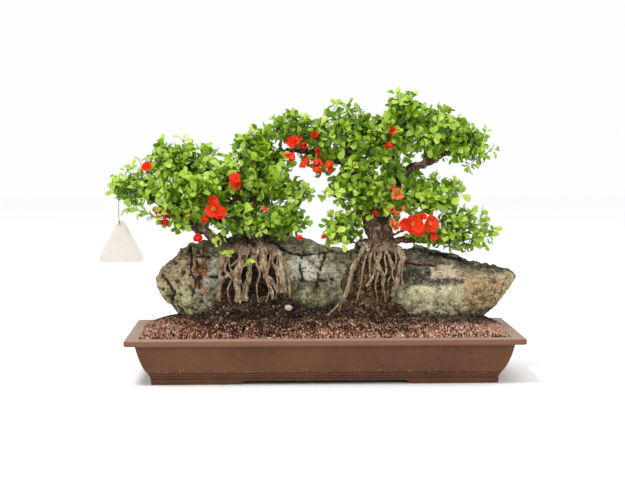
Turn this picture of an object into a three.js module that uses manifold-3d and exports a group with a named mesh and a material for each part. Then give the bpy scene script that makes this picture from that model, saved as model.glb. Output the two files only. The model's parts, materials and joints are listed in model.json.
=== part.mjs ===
// Chojubai flowering quince bonsai: two dwarf quinces with bare roots, standing over a long rock
// in a shallow clay tray of red-brown gravel. Millimetres, +Z up, +Y away from the front.
// Points are given from the middle of the tray's underside, and the whole is then moved along X.
import * as THREE from "three";
import { mergeVertices } from "three/addons/utils/BufferGeometryUtils.js";
import Module from "manifold-3d";

const wasm = await Module();
wasm.setup();

// Clear gap between neighbours that touch.
const GAP = 0.35;
// How far the tray's middle lies from the middle of the whole object's width.
const POT_CENTRE_X = 10;

// Tray: outer rim, heights and walls.
const POT_LENGTH = 600;
const POT_DEPTH = 255;
const POT_HEIGHT = 72;
const POT_CORNER = 6;
const RIM_WIDTH = 21;
const FLOOR_TOP = 16;
const FOOT_RING = 12;
const FOOT_RECESS = 6;
const FOOT_GAP_HEIGHT = 5.5;
const FRONT_GAP_LENGTH = 268;
const SIDE_GAP_LENGTH = 78;
const GAP_END = 9;
const DRAIN_RADIUS = 11;
const DRAIN_SPACING = 170;
// Outer profile from the feet up, as inset from the rim's edge and height.
const POT_PROFILE = [
  [37.7, 0],
  [36.6, 8.2],
  [38, 9.2],
  [36.2, 10.2],
  [35.6, 12.4],
  [36.4, 13.2],
  [34, 14.4],
  [32.4, 19],
  [26, 27.5],
  [20.5, 41],
  [17, 53],
  [15.4, 60],
  [12.8, 62],
  [0, 63],
  [0, 71],
  [1, 72],
];
// Inner profile from the rim down to the floor.
const POT_INSIDE = [
  [RIM_WIDTH - 1, POT_HEIGHT],
  [RIM_WIDTH, POT_HEIGHT - 1],
  [RIM_WIDTH + 1, 60],
  [30, 50],
  [41, FLOOR_TOP],
];

// Drain screens: squares of plastic mesh over the holes.
const SCREEN_SIDE = 36;
const SCREEN_THICKNESS = 1.2;
const SCREEN_BAR = 2.4;
const SCREEN_CELLS = 2;

// Gravel: edge level, height of the mound and size of its bumps.
const SOIL_EDGE = 67;
const SOIL_MOUND = 32;
const SOIL_BUMP = 1.3;
// Half length and half depth over which the mound falls away, and how squarely it does.
const SOIL_REACH = [292, 108];
const SOIL_FALL = [7, 1.9];
// How far inwards the mound's rings close.
const SOIL_SPINE = 6;
const SOIL_RINGS = 4;
const SOIL_STEPS = [9, 3];

// Rock sections along X: place, top, underside, middle and half depth.
const ROCK_SECTIONS = [
  [-262, 152, 142, 14, 5],
  [-254, 164, 128, 14, 24],
  [-240, 178, 112, 14, 37],
  [-224, 195, 96, 14, 43],
  [-203, 205, 80, 14, 47],
  [-175, 211, 70, 15, 46],
  [-145, 212, 66, 18, 43],
  [-90, 214, 66, 20, 42],
  [-67, 213, 66, 19, 45],
  [-40, 211, 66, 18, 48],
  [-15, 207, 66, 17, 49],
  [32, 195, 66, 20, 44],
  [88, 191, 66, 20, 46],
  [132, 195, 66, 15, 54],
  [147, 201, 68, 14, 56],
  [178, 190, 72, 14, 55],
  [204, 186, 75, 14, 52],
  [228, 177, 79, 13, 48],
  [249, 172, 88, 12, 43],
  [270, 167, 108, 12, 36],
  [288, 163, 130, 12, 26],
  [299, 158, 143, 12, 14],
  [304, 154, 149, 12, 4],
];
const ROCK_SIDES = 10;
const ROCK_SQUARENESS = 2.7;
const ROCK_LEAN = 16;
const ROCK_ROUGHNESS = 2.2;
// Half size from which a section has its full lean and roughness.
const ROCK_FULL_SIZE = 40;

// Dark root soil between the roots and the rock: middles and half sizes of its lumps.
const ROOT_SOIL = {
  left: [
    [[-112, -25, 147], [55, 20, 57]],
    [[-104, -44, 100], [86, 34, 33]],
  ],
  right: [
    [[70, -31, 144], [42, 24, 50]],
    [[70, -44, 98], [66, 32, 30]],
  ],
};

// Roots, trunks and branches of each plant: route, and radius at its start and end.
const LEFT_LIMBS = [
  // Trunks and main branches.
  [
    [
      [-124, -26, 190], [-127, -20, 207], [-133, -12, 225],
      [-129, -5, 244], [-131, 0, 268], [-138, 5, 290],
    ],
    10.5, 6,
  ],
  [[[-138, 5, 290], [-160, 6, 308], [-190, 4, 322], [-222, 4, 338]], 6, 2.2],
  [
    [
      [-93, -46, 166], [-93, -42, 181], [-95, -35, 199],
      [-101, -25, 217], [-107, -15, 234], [-110, -8, 254],
    ],
    7.8, 7,
  ],
  [[[-110, -8, 254], [-106, -6, 276], [-102, -4, 296], [-100, -4, 318]], 6.4, 2.4],
  [
    [
      [-146, -28, 192], [-158, -31, 204], [-170, -31, 218],
      [-184, -30, 228], [-200, -28, 235], [-216, -25, 244],
    ],
    9, 6.8,
  ],
  [
    [
      [-216, -25, 244], [-234, -24, 257], [-255, -20, 272],
      [-276, -13, 284], [-298, -9, 290], [-319, -5, 292],
    ],
    6.8, 1.5,
  ],
  [[[-200, -28, 235], [-201, -30, 258], [-204, -31, 284]], 5, 2],
  [[[-131, 0, 262], [-150, 16, 274], [-172, 28, 283], [-194, 37, 291]], 5.4, 2.2],
  [[[-129, -6, 232], [-146, 12, 236], [-166, 28, 242], [-184, 40, 249]], 4.8, 2],
  [[[-110, -8, 250], [-111, 16, 262], [-110, 34, 272], [-110, 50, 280]], 4.8, 2],
  [[[-103, -5, 288], [-88, -3, 290], [-72, -1, 289], [-52, 0, 288]], 3.8, 1.5],
  [[[-99, -28, 212], [-90, -22, 224], [-76, -15, 233], [-60, -10, 240]], 4.4, 1.8],
  [[[-133, -12, 225], [-112, -18, 222], [-100, -24, 214]], 5.5, 6],
  [[[-150, -24, 200], [-138, -26, 196], [-122, -32, 196], [-106, -36, 196], [-92, -38, 194]], 9.5, 8],
  // Spurs that carry blooms and small sprays.
  [[[-107, -8, 282], [-116, -18, 290], [-127, -28, 297]], 2.6, 1.5],
  [[[-184, -30, 228], [-178, -42, 242], [-172, -52, 258]], 3, 1.7],
  [[[-105, -18, 232], [-97, -29, 245], [-91, -38, 255]], 2.4, 1.4],
  [[[-76, -15, 233], [-60, -24, 224], [-46, -30, 218]], 2.4, 1.3],
  [[[-275, -13, 284], [-274, -19, 300], [-270, -26, 316]], 2.3, 1.3],
  [[[-131, -6, 246], [-135, -16, 249], [-136, -26, 250]], 3, 1.6],
  // Front roots.
  [
    [
      [-92, -38, 194], [-82, -40, 202], [-72, -42, 200], [-67, -45, 190],
      [-65, -49, 172], [-61, -54, 152], [-60, -58, 128],
    ],
    6.4, 2.6,
  ],
  [[[-66, -45, 188], [-58, -48, 176], [-54, -52, 160], [-53, -55, 140], [-52, -58, 126]], 2.8, 2],
  [[[-76, -42, 194], [-80, -44, 182], [-72, -49, 170], [-67, -54, 152], [-66, -58, 134]], 4, 2.4],
  [
    [
      [-124, -36, 194], [-128, -47, 178], [-133, -55, 162],
      [-132, -60, 146], [-131, -63, 122],
    ],
    6.6, 5.4,
  ],
  [[[-108, -40, 190], [-113, -48, 172], [-116, -54, 154], [-119, -58, 141], [-121, -61, 122]], 4.6, 4],
  [[[-152, -32, 196], [-155, -40, 184], [-158, -44, 171], [-157, -46, 152]], 5.6, 3.6],
  [
    [
      [-128, -48, 176], [-138, -48, 168], [-148, -51, 161],
      [-156, -54, 154], [-160, -57, 143], [-160, -59, 122],
    ],
    3.8, 3.2,
  ],
  [[[-93, -47, 170], [-86, -53, 158], [-78, -57, 150], [-69, -60, 136]], 4.4, 2.6],
  [[[-93, -48, 168], [-88, -56, 152], [-82, -60, 142], [-78, -63, 126]], 3.8, 2.4],
  [
    [
      [-143, -34, 194], [-148, -46, 183], [-152, -52, 171],
      [-145, -57, 162], [-137, -60, 154],
    ],
    2.4, 1.9,
  ],
  [[[-112, -38, 198], [-120, -48, 196], [-132, -50, 184], [-142, -52, 176]], 2, 1.6],
  // Back roots.
  [
    [
      [-150, -24, 200], [-156, 2, 214], [-160, 34, 214], [-162, 58, 196],
      [-164, 68, 160], [-166, 72, 120], [-166, 76, 84],
    ],
    7, 3,
  ],
  [
    [
      [-120, -28, 198], [-124, 4, 216], [-122, 40, 216],
      [-120, 62, 196], [-116, 70, 150], [-114, 76, 84],
    ],
    6.4, 2.8,
  ],
  [
    [
      [-94, -36, 196], [-86, -6, 217], [-80, 34, 217],
      [-76, 62, 200], [-74, 72, 150], [-72, 78, 84],
    ],
    6, 2.6,
  ],
];
const RIGHT_LIMBS = [
  // Boles and main branches.
  [
    [
      [88, -24, 192], [84, -19, 212], [75, -9, 238], [66, -2, 264],
      [55, 3, 289], [44, 5, 314], [35, 5, 332],
    ],
    16.5, 7.6,
  ],
  [
    [
      [98, -22, 196], [97, -12, 222], [95, 0, 246],
      [102, 9, 273], [113, 10, 295], [120, 8, 312],
    ],
    12.5, 9.2,
  ],
  [
    [
      [35, 5, 332], [20, 3, 338], [-1, 0, 345], [-23, 0, 348],
      [-45, 0, 352], [-69, 2, 347], [-92, 1, 347], [-112, 0, 356],
    ],
    7.2, 2,
  ],
  [
    [
      [120, 8, 312], [137, 3, 322], [159, -3, 330],
      [180, -6, 339], [201, -5, 350], [226, 0, 358],
    ],
    8.8, 2.2,
  ],
  [[[120, 8, 312], [114, 6, 336], [120, 4, 359], [127, 3, 383], [129, 3, 412]], 7, 2],
  [[[116, 7, 322], [104, 7, 338], [99, 4, 360]], 5.6, 2.6],
  [[[159, -3, 330], [166, -6, 350], [172, -8, 378]], 5, 2],
  [[[35, 5, 330], [37, 4, 352], [42, 2, 386]], 5.2, 2],
  [[[38, 5, 338], [58, 3, 356], [76, 2, 380], [94, 2, 402]], 3.2, 1.5],
  [[[-23, 0, 348], [-36, 0, 364], [-44, 0, 382]], 3.8, 1.7],
  [[[66, -2, 264], [48, -11, 248], [36, -14, 236]], 4.4, 1.7],
  [[[98, 3, 258], [118, 5, 265], [142, 2, 270], [168, -5, 279]], 5.2, 1.9],
  [[[96, 2, 254], [104, 20, 266], [112, 34, 276], [120, 48, 284]], 4.8, 1.9],
  [[[115, 7, 330], [111, 24, 348], [110, 38, 362], [110, 50, 374]], 4.8, 1.9],
  [
    [
      [104, -14, 208], [122, -16, 212], [142, -18, 212],
      [162, -18, 209], [184, -14, 208], [206, -10, 214],
    ],
    5.6, 2.2,
  ],
  [[[80, -24, 208], [62, -28, 207], [40, -29, 210], [21, -28, 212], [8, -28, 216]], 4, 1.2],
  // Spurs that carry blooms and small sprays.
  [[[98, -14, 216], [112, -22, 222], [124, -30, 229], [134, -37, 235]], 3.6, 1.9],
  [[[124, -30, 229], [142, -30, 228], [156, -34, 232]], 2.4, 1.6],
  [[[102, 6, 270], [106, -8, 275], [110, -20, 279]], 2.8, 1.5],
  [[[97, -4, 246], [102, -16, 252], [106, -26, 257]], 2.8, 1.5],
  [[[115, 5, 345], [109, -12, 352], [104, -26, 357]], 2.6, 1.4],
  [[[49, 3, 302], [48, -10, 312], [47, -20, 320]], 2.6, 1.4],
  [[[-30, 0, 349], [-35, -10, 354], [-41, -19, 357]], 2.6, 1.4],
  [[[2, 0, 344], [-2, -10, 345], [-6, -16, 343]], 2.8, 1.6],
  [[[-72, 2, 347], [-75, 3, 341], [-77, 4, 334]], 2.4, 1.4],
  // Front roots.
  [
    [
      [76, -26, 210], [62, -36, 200], [52, -44, 184],
      [43, -52, 170], [38, -56, 150], [33, -60, 128],
    ],
    5, 2.4,
  ],
  [[[80, -30, 202], [72, -42, 188], [70, -52, 166], [72, -56, 152]], 3.8, 2],
  [[[84, -32, 202], [86, -46, 190], [82, -54, 176], [90, -60, 160], [88, -62, 132]], 5, 2.2],
  [
    [
      [100, -28, 204], [112, -36, 198], [122, -42, 188], [116, -48, 176],
      [113, -52, 162], [108, -56, 142], [104, -58, 128],
    ],
    7.2, 3,
  ],
  [[[92, -34, 200], [100, -46, 188], [105, -53, 170], [98, -58, 152], [96, -60, 128]], 3.2, 2],
  [[[88, -32, 200], [80, -48, 180], [76, -56, 162], [64, -60, 144]], 2.8, 1.8],
  [[[44, -51, 172], [36, -58, 136], [22, -64, 118], [4, -68, 101]], 2.2, 1.6],
  [[[40, -54, 158], [30, -62, 130], [22, -68, 108]], 2, 1.6],
  // Back roots.
  [[[76, -14, 204], [66, 16, 206], [58, 48, 200], [54, 66, 170], [52, 70, 124], [50, 74, 84]], 7, 2.8],
  [
    [
      [96, -12, 206], [100, 20, 206], [104, 52, 200],
      [106, 68, 168], [108, 74, 120], [110, 78, 84],
    ],
    7.4, 3,
  ],
];
const LIMB_SIDES = 5;
const ROOT_SIDES = 4;
const SPUR_SIDES = 3;
const THICK_LIMB = 6.2;
const THIN_LIMB = 3.1;
const LIMB_STEP = 28;
const LIMB_ROUGHNESS = 0.13;
const LIMB_TAPER = 0.85;

// Leafy sprays: middle and half sizes of each.
const SPRAYS = {
  left_tip: [[-286, -10, 294], [47, 35, 32]],
  left_crown: [[-224, 6, 338], [55, 40, 26]],
  left_front: [[-204, -34, 284], [50, 32, 33]],
  left_back: [[-190, 42, 296], [54, 34, 32]],
  left_low_front: [[-222, -30, 250], [31, 20, 16]],
  left_low_back: [[-186, 44, 250], [42, 29, 20]],
  left_centre: [[-156, -4, 302], [32, 30, 28]],
  left_trunk_top: [[-101, -5, 314], [49, 38, 38]],
  left_inner: [[-134, -30, 250], [28, 20, 21]],
  left_rear: [[-108, 54, 282], [45, 29, 31]],
  left_arm: [[-52, 0, 289], [33, 24, 17]],
  left_right_low: [[-62, -8, 242], [44, 31, 25]],
  right_long_tip: [[-108, 2, 356], [34, 27, 26]],
  right_long_middle: [[-45, 2, 382], [40, 29, 25]],
  right_long_low: [[-76, 4, 336], [19, 15, 12]],
  right_leader: [[0, 8, 338], [27, 22, 21]],
  right_shoulder: [[42, 2, 386], [40, 33, 32]],
  right_apex: [[128, 2, 408], [36, 32, 27]],
  right_crown: [[180, -10, 376], [54, 37, 40]],
  right_crown_tip: [[228, 2, 356], [36, 29, 28]],
  right_crown_left: [[92, -6, 368], [37, 30, 29]],
  right_crown_back: [[112, 52, 372], [46, 28, 32]],
  right_stem: [[53, -8, 292], [44, 34, 40]],
  right_middle: [[168, -6, 280], [48, 33, 29]],
  right_middle_back: [[122, 50, 284], [43, 28, 30]],
  right_low: [[214, -8, 226], [49, 37, 34]],
  right_low_left: [[32, -14, 232], [31, 24, 24]],
};
const CORE_SHARE = 0.62;
const CORE_BUMP = 0.14;
// A rosette of leaves on a short twig: sizes of one leaf, and how the leaves spread.
const LEAF = {
  blades: 4,
  length: 27,
  width: 21,
  lift: 32,
  notch: 0.13,
  cup: 0,
  thickness: 2,
  spike: 15,
  sway: 0.25,
  outline: [[0.66, 0.5]],
};
// Any whorl of blades: its notches' thickness and rise, where a blade is thickest, and how much
// its lift in degrees and its size vary.
const NOTCH_THICKNESS = 1.2;
const NOTCH_RISE = 0.4;
const BLADE_MIDDLE = 0.56;
const LIFT_SPREAD = 12;
const LEAST_BLADE = 0.88;
const BLADE_SPREAD = 0.18;
// How high a rosette stands over its core, at least and at most, and how far its axis strays.
const ROSETTE_RISE = [1.2, 4.8];
const ROSETTE_STRAY = 0.7;
// Least shared volume that roots a rosette in its core.
const ROSETTE_ROOT = 4;
const ROSETTES_BY_AREA = 0.00036;
const ROSETTE_TRIES = 16;

// Blooms: middle, facing, petal length, petals, opening angle and where the stalk starts.
const BLOOMS = {
  bloom_main: [[[136, -48, 239], [-0.1, -1, 0.12], 18, 5, 16, [134, -37, 235]]],
  bloom_second: [
    [[161, -44, 238], [0.35, -0.9, 0.3], 15.5, 5, 30, [156, -34, 232]],
    [[168, -36, 222], [0.25, -0.45, -0.85], 14, 4, 58, [158, -38, 235]],
  ],
  bloom_left: [[[113, -44, 240], [-0.45, -0.8, -0.35], 14, 4, 46, [122, -31, 230]]],
  bloom_old: [[[112, -30, 282], [0, -0.8, 0.6], 11, 5, 38, [110, -20, 279]]],
  bloom_inner: [[[105, -35, 259], [-0.2, -0.9, 0.3], 9, 4, 40, [106, -26, 257]]],
  bloom_bole: [[[82, -30, 256], [-0.2, -0.9, -0.3], 8, 3, 62, [76, -14, 245]]],
  bud_berry: [[[3, -29, 218], [-0.8, -0.3, 0.2], 7, 4, 78, [10, -28, 215]]],
  bloom_leader: [[[102, -33, 360], [-0.2, -0.8, -0.4], 10, 4, 50, [104, -26, 357]]],
  bud_stem: [[[47, -26, 324], [0, -0.5, 0.8], 8, 3, 68, [47, -20, 320]]],
  bloom_branch_left: [
    [[-46, -24, 361], [-0.5, -0.75, 0.35], 12, 4, 35, [-41, -19, 357]],
    [[-47, -25, 347], [-0.3, -0.3, -0.9], 13, 4, 60, [-44, -22, 359]],
  ],
  bloom_branch_middle: [[[-27, -14, 341], [0.1, -0.3, -0.95], 14, 4, 62, [-26, -4, 347]]],
  bloom_branch_right: [
    [[-9, -22, 339], [-0.2, -0.4, -0.9], 14, 5, 56, [-6, -16, 343]],
    [[6, -22, 334], [0.5, -0.35, -0.75], 13, 4, 60, [-7, -18, 342]],
  ],
  bud_left_stem: [[[-131, -34, 300], [-0.5, -0.75, 0.3], 11, 4, 40, [-127, -28, 297]]],
  bloom_left_front: [[[-168, -60, 263], [0.05, -0.95, 0.25], 13.5, 5, 24, [-172, -52, 258]]],
  bud_left_inner: [[[-89, -43, 260], [0.1, -0.8, 0.5], 8, 3, 60, [-91, -38, 255]]],
  bud_left_right: [[[-40, -33, 217], [0.8, -0.5, 0.1], 8, 3, 56, [-46, -30, 218]]],
  bloom_left_under: [[[-192, -38, 224], [0, -0.5, -0.87], 13, 4, 60, [-192, -30, 230]]],
  bloom_left_branch: [
    [[-240, -36, 256], [-0.4, -0.9, 0], 11, 4, 45, [-236, -25, 257]],
  ],
};
// How deep a stalk is rooted in its spur.
const STALK_ROOT = 4;
// Petals of a wide open bloom have a rounder outline than those of a closing one.
const OPEN_ANGLE = 32;
const OPEN_OUTLINE = [[0.52, 0.46], [0.9, 0.34]];
const CLOSED_OUTLINE = [[0.68, 0.5]];
const PETAL = { notch: 0.22, cup: 1.4, thickness: 1.7, sway: 0.06 };
// Narrowest and widest petal, by its length.
const PETAL_WIDTHS = [0.5, 0.98];

// Yellow stamen tufts that stand in the open blooms, and their size.
const OPEN_BLOOMS = ["bloom_main", "bloom_second", "bloom_left_front"];
const STAMEN_BUTTON = 2.3;
const STAMEN_LENGTH = 8;
const STAMEN_COUNT = 4;
const STAMEN_RADII = [0.55, 0.7];
const STAMEN_SPREAD = [0.3, 0.55];

// Tag and thread.
const TAG_APEX = [-313, 243];
const TAG_BASE = 178;
const TAG_HALF_WIDTH = 34;
const TAG_ROUND = 7;
const TAG_THICKNESS = 1;
const TAG_HOLE = [-314, 234];
const TAG_HOLE_RADIUS = 2;
const TAG_Y = -5;
const THREAD_RADIUS = 0.5;
const THREAD_TOP = 289.6;
const THREAD_STEPS = 20;

// Colours and finishes of the materials.
const FINISH = {
  clay: [0x7a5140, 0.75],
  gravel: [0xa0654f, 0.95],
  rock: [0x8b8c78, 0.9],
  rootSoil: [0x3c3226, 1],
  bark: [0x7d6a57, 0.9],
  leaf: [0x6aa329, 0.45],
  petal: [0xe8371f, 0.5],
  stamen: [0xe3c24a, 0.7],
  card: [0xf6efe6, 0.8],
  thread: [0x8e8a86, 0.7],
  screen: [0x2e3230, 0.6],
};

// A repeatable stream of numbers from 0 to 1.
function seeded(seed) {
  let state = seed >>> 0;
  return () => {
    state = (state + 0x6d2b79f5) >>> 0;
    let mixed = Math.imul(state ^ (state >>> 15), 1 | state);
    mixed = (mixed + Math.imul(mixed ^ (mixed >>> 7), 61 | mixed)) ^ mixed;
    return ((mixed ^ (mixed >>> 14)) >>> 0) / 4294967296;
  };
}

// A closed geometry as a solid, its shared points merged.
function toSolid(geometry) {
  const bare = geometry.clone();
  bare.deleteAttribute("normal");
  bare.deleteAttribute("uv");
  const merged = mergeVertices(bare, 1e-4);
  return new wasm.Manifold(
    new wasm.Mesh({
      numProp: 3,
      vertProperties: merged.attributes.position.array,
      triVerts: new Uint32Array(merged.index.array),
    }),
  );
}

// A solid from points and triangles, turned outwards whichever way they run.
function solidFrom(points, triangles) {
  let volume = 0;
  for (const [a, b, c] of triangles) {
    volume += points[a].dot(points[b].clone().cross(points[c]));
  }
  const order = volume < 0 ? ([a, b, c]) => [a, c, b] : (t) => t;
  const geometry = new THREE.BufferGeometry().setFromPoints(points);
  geometry.setIndex(triangles.flatMap(order));
  return toSolid(geometry);
}

// Rings of equally many points joined into one closed skin, with a fan over each end.
function loft(rings) {
  const count = rings[0].length;
  const points = rings.flat();
  const triangles = [];
  for (let r = 0; r + 1 < rings.length; r += 1) {
    for (let i = 0; i < count; i += 1) {
      const a = r * count + i;
      const b = r * count + ((i + 1) % count);
      triangles.push([a, b, a + count], [b, b + count, a + count]);
    }
  }
  for (const [ring, flip] of [[0, true], [rings.length - 1, false]]) {
    const middle = points.length;
    const centre = new THREE.Vector3();
    rings[ring].forEach((p) => centre.addScaledVector(p, 1 / count));
    points.push(centre);
    for (let i = 0; i < count; i += 1) {
      const a = ring * count + i;
      const b = ring * count + ((i + 1) % count);
      triangles.push(flip ? [b, a, middle] : [a, b, middle]);
    }
  }
  return solidFrom(points, triangles);
}

// The largest body of a solid, without scraps or sealed hollows.
function largest(solid) {
  return solid.decompose().reduce((best, body) => (body.volume() > best.volume() ? body : best));
}

function union(solids) {
  return solids.reduce((whole, solid) => whole.add(solid));
}

const vector = ([x, y, z]) => new THREE.Vector3(x, y, z);

// Whether two solids share more than a trace of space.
function overlaps(a, b, least = 0.002) {
  const common = a.intersect(b);
  const shared = common.volume() > least;
  common.delete();
  return shared;
}

// A solid with the ball round it, for quick tests against its neighbours.
function withBall(solid) {
  const box = solid.boundingBox();
  const low = vector(box.min);
  const high = vector(box.max);
  return { solid, middle: low.clone().lerp(high, 0.5), reach: low.distanceTo(high) / 2 };
}

function clashes(candidate, others) {
  return others.some(
    (other) =>
      other.middle.distanceTo(candidate.middle) < other.reach + candidate.reach &&
      overlaps(candidate.solid, other.solid),
  );
}

const whole = new THREE.Group();
const standing = new THREE.Group();
standing.position.x = POT_CENTRE_X;
whole.add(standing);

// Adds a solid to the object as a named mesh with its own material.
function addPiece(name, solid, finish) {
  const { numProp, vertProperties, triVerts } = solid.getMesh();
  const geometry = new THREE.BufferGeometry();
  const positions = new Float32Array((vertProperties.length / numProp) * 3);
  for (let i = 0; i < vertProperties.length / numProp; i += 1) {
    positions.set(vertProperties.subarray(i * numProp, i * numProp + 3), i * 3);
  }
  geometry.setAttribute("position", new THREE.BufferAttribute(positions, 3));
  geometry.setIndex(new THREE.BufferAttribute(new Uint32Array(triVerts), 1));
  geometry.computeVertexNormals();
  const [color, roughness] = FINISH[finish];
  const material = new THREE.MeshStandardMaterial({ color, roughness, metalness: 0 });
  const mesh = new THREE.Mesh(geometry, material);
  mesh.name = name;
  standing.add(mesh);
}

// A horizontal ring round a rectangle with round corners, with points along its sides.
function roundedRing(halfX, halfY, radius, z, alongX = 1, alongY = 1) {
  const corners = [[1, 1], [-1, 1], [-1, -1], [1, -1]];
  const onArc = (corner, share) => {
    const [sx, sy] = corners[corner % 4];
    const angle = (corner + share) * (Math.PI / 2);
    const x = sx * (halfX - radius) + radius * Math.cos(angle);
    const y = sy * (halfY - radius) + radius * Math.sin(angle);
    return new THREE.Vector3(x, y, z);
  };
  const ring = [];
  for (let corner = 0; corner < 4; corner += 1) {
    ring.push(onArc(corner, 0), onArc(corner, 0.5), onArc(corner, 1));
    const steps = corner % 2 ? alongY : alongX;
    for (let i = 1; i < steps; i += 1) {
      ring.push(onArc(corner, 1).lerp(onArc(corner + 1, 0), i / steps));
    }
  }
  return ring;
}

// A ring of the tray at an inset from the rim's outer edge, with points along its sides.
function potRing([inset, z], clear = 0, steps = [1, 1]) {
  const radius = Math.max(POT_CORNER - inset * 0.08, 3);
  return roundedRing(POT_LENGTH / 2 - inset - clear, POT_DEPTH / 2 - inset - clear, radius, z, ...steps);
}

// A bar with round upper ends that cuts the gap between two feet, along Y.
function footGap(length, through) {
  const shape = new THREE.Shape();
  shape.moveTo(-length / 2 - 2, -2);
  shape.lineTo(-length / 2, 0);
  shape.quadraticCurveTo(-length / 2 + GAP_END, 0.4, -length / 2 + GAP_END * 1.6, FOOT_GAP_HEIGHT);
  shape.lineTo(length / 2 - GAP_END * 1.6, FOOT_GAP_HEIGHT);
  shape.quadraticCurveTo(length / 2 - GAP_END, 0.4, length / 2, 0);
  shape.lineTo(length / 2 + 2, -2);
  const geometry = new THREE.ExtrudeGeometry(shape, {
    depth: through,
    bevelEnabled: false,
    curveSegments: 3,
  });
  geometry.translate(0, 0, -through / 2);
  geometry.rotateX(Math.PI / 2);
  return geometry;
}

// Pot: stacked rings from the feet up over the rim and down to the floor, then its cuts.
function makePot() {
  let pot = loft([...POT_PROFILE, ...POT_INSIDE].map((station) => potRing(station)));
  const footInset = POT_PROFILE[0][0] + FOOT_RING;
  const [recessX, recessY] = [POT_LENGTH / 2 - footInset, POT_DEPTH / 2 - footInset];
  pot = pot.subtract(loft([-1, FOOT_RECESS].map((z) => roundedRing(recessX, recessY, 4, z))));
  pot = pot.subtract(toSolid(footGap(FRONT_GAP_LENGTH, POT_DEPTH)));
  pot = pot.subtract(toSolid(footGap(SIDE_GAP_LENGTH, POT_LENGTH).rotateZ(Math.PI / 2)));
  for (const place of [-1, 0, 1]) {
    const hole = new THREE.CylinderGeometry(DRAIN_RADIUS, DRAIN_RADIUS, FLOOR_TOP * 2, 12);
    hole.rotateX(Math.PI / 2).translate(place * DRAIN_SPACING, 0, FLOOR_TOP);
    pot = pot.subtract(toSolid(hole));
  }
  return pot;
}

// A square of coarse plastic mesh lying over a drain hole.
function makeScreen(x) {
  const cell = (SCREEN_SIDE - SCREEN_BAR * (SCREEN_CELLS + 1)) / SCREEN_CELLS;
  const level = FLOOR_TOP + GAP + SCREEN_THICKNESS / 2;
  const plate = new THREE.BoxGeometry(SCREEN_SIDE, SCREEN_SIDE, SCREEN_THICKNESS);
  let screen = toSolid(plate.translate(x, 0, level));
  for (let row = 0; row < SCREEN_CELLS; row += 1) {
    for (let column = 0; column < SCREEN_CELLS; column += 1) {
      const opening = new THREE.BoxGeometry(cell, cell, SCREEN_THICKNESS * 2);
      const [across, along] = [column, row].map((n) => (n - (SCREEN_CELLS - 1) / 2) * (cell + SCREEN_BAR));
      screen = screen.subtract(toSolid(opening.translate(x + across, along, level)));
    }
  }
  return screen;
}

// Height of the gravel at a place in the tray.
function soilHeight(x, y) {
  const along = 1 - Math.abs(x / SOIL_REACH[0]) ** SOIL_FALL[0];
  const across = 1 - Math.abs(y / SOIL_REACH[1]) ** SOIL_FALL[1];
  return SOIL_EDGE + SOIL_MOUND * Math.max(along, 0) * Math.max(across, 0);
}

// Gravel: walls that follow the inside of the tray, and a bumpy mound of rings that close in.
function makeSoil() {
  const random = seeded(11);
  const walls = POT_INSIDE.slice(2).reverse();
  const rings = [...walls, [RIM_WIDTH + 0.7, SOIL_EDGE]].map(([inset, z]) =>
    potRing([inset, z === FLOOR_TOP ? z + GAP : z], GAP, SOIL_STEPS),
  );
  const halfX = POT_LENGTH / 2 - RIM_WIDTH - 1;
  const halfY = POT_DEPTH / 2 - RIM_WIDTH - 1;
  for (let i = 1; i <= SOIL_RINGS; i += 1) {
    const inset = (halfY - SOIL_SPINE) * (i / SOIL_RINGS);
    const points = roundedRing(halfX - inset, halfY - inset, 3, 0, ...SOIL_STEPS);
    points.forEach((p) => (p.z = soilHeight(p.x, p.y) + SOIL_BUMP * (2 * random() - 1)));
    rings.push(points);
  }
  return loft(rings);
}

// Rock: blocky sections along X that lean back at the top, with a rough skin.
function makeRock(grow = 0) {
  const random = seeded(23);
  const power = 2 / ROCK_SQUARENESS;
  const bend = (value) => Math.sign(value) * Math.abs(value) ** power;
  const rings = ROCK_SECTIONS.map(([x, top, bottom, middle, half], index) => {
    const ends = { 0: -grow, [ROCK_SECTIONS.length - 1]: grow };
    const height = (top - bottom) / 2;
    const size = Math.min(half / ROCK_FULL_SIZE, height / ROCK_FULL_SIZE, 1);
    return Array.from({ length: ROCK_SIDES }, (_, i) => {
      const angle = (i / ROCK_SIDES) * 2 * Math.PI;
      const rough = ROCK_ROUGHNESS * size * (2 * random() - 1);
      const up = bend(Math.sin(angle));
      const lean = ROCK_LEAN * size * (up > 0 ? up * up : 0);
      const y = middle + (half + rough + grow) * bend(Math.cos(angle)) + lean * (1 - Math.cos(angle)) * 0.5;
      const z = (top + bottom) / 2 + (height + rough * 0.5 + grow) * up;
      return new THREE.Vector3(x + (ends[index] ?? 0), y, z);
    });
  });
  return loft(rings);
}

// A lumpy ball of the given middle and half sizes.
function lump(centre, half, detail, bump, random, grow = 0) {
  const ball = new THREE.IcosahedronGeometry(1, detail);
  ball.deleteAttribute("normal");
  ball.deleteAttribute("uv");
  const merged = mergeVertices(ball, 1e-4);
  const place = merged.attributes.position;
  for (let i = 0; i < place.count; i += 1) {
    const size = 1 + bump * (2 * random() - 1);
    const xyz = [place.getX(i), place.getY(i), place.getZ(i)];
    place.setXYZ(i, ...xyz.map((v, axis) => centre[axis] + v * (half[axis] * size + grow)));
  }
  return toSolid(merged);
}

// Root soil: lumps that run into one another.
function makeRootSoil(side, grow = 0) {
  const random = seeded(side === "left" ? 31 : 37);
  return union(ROOT_SOIL[side].map(([centre, half]) => lump(centre, half, 1, 0.06, random, grow)));
}

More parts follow.
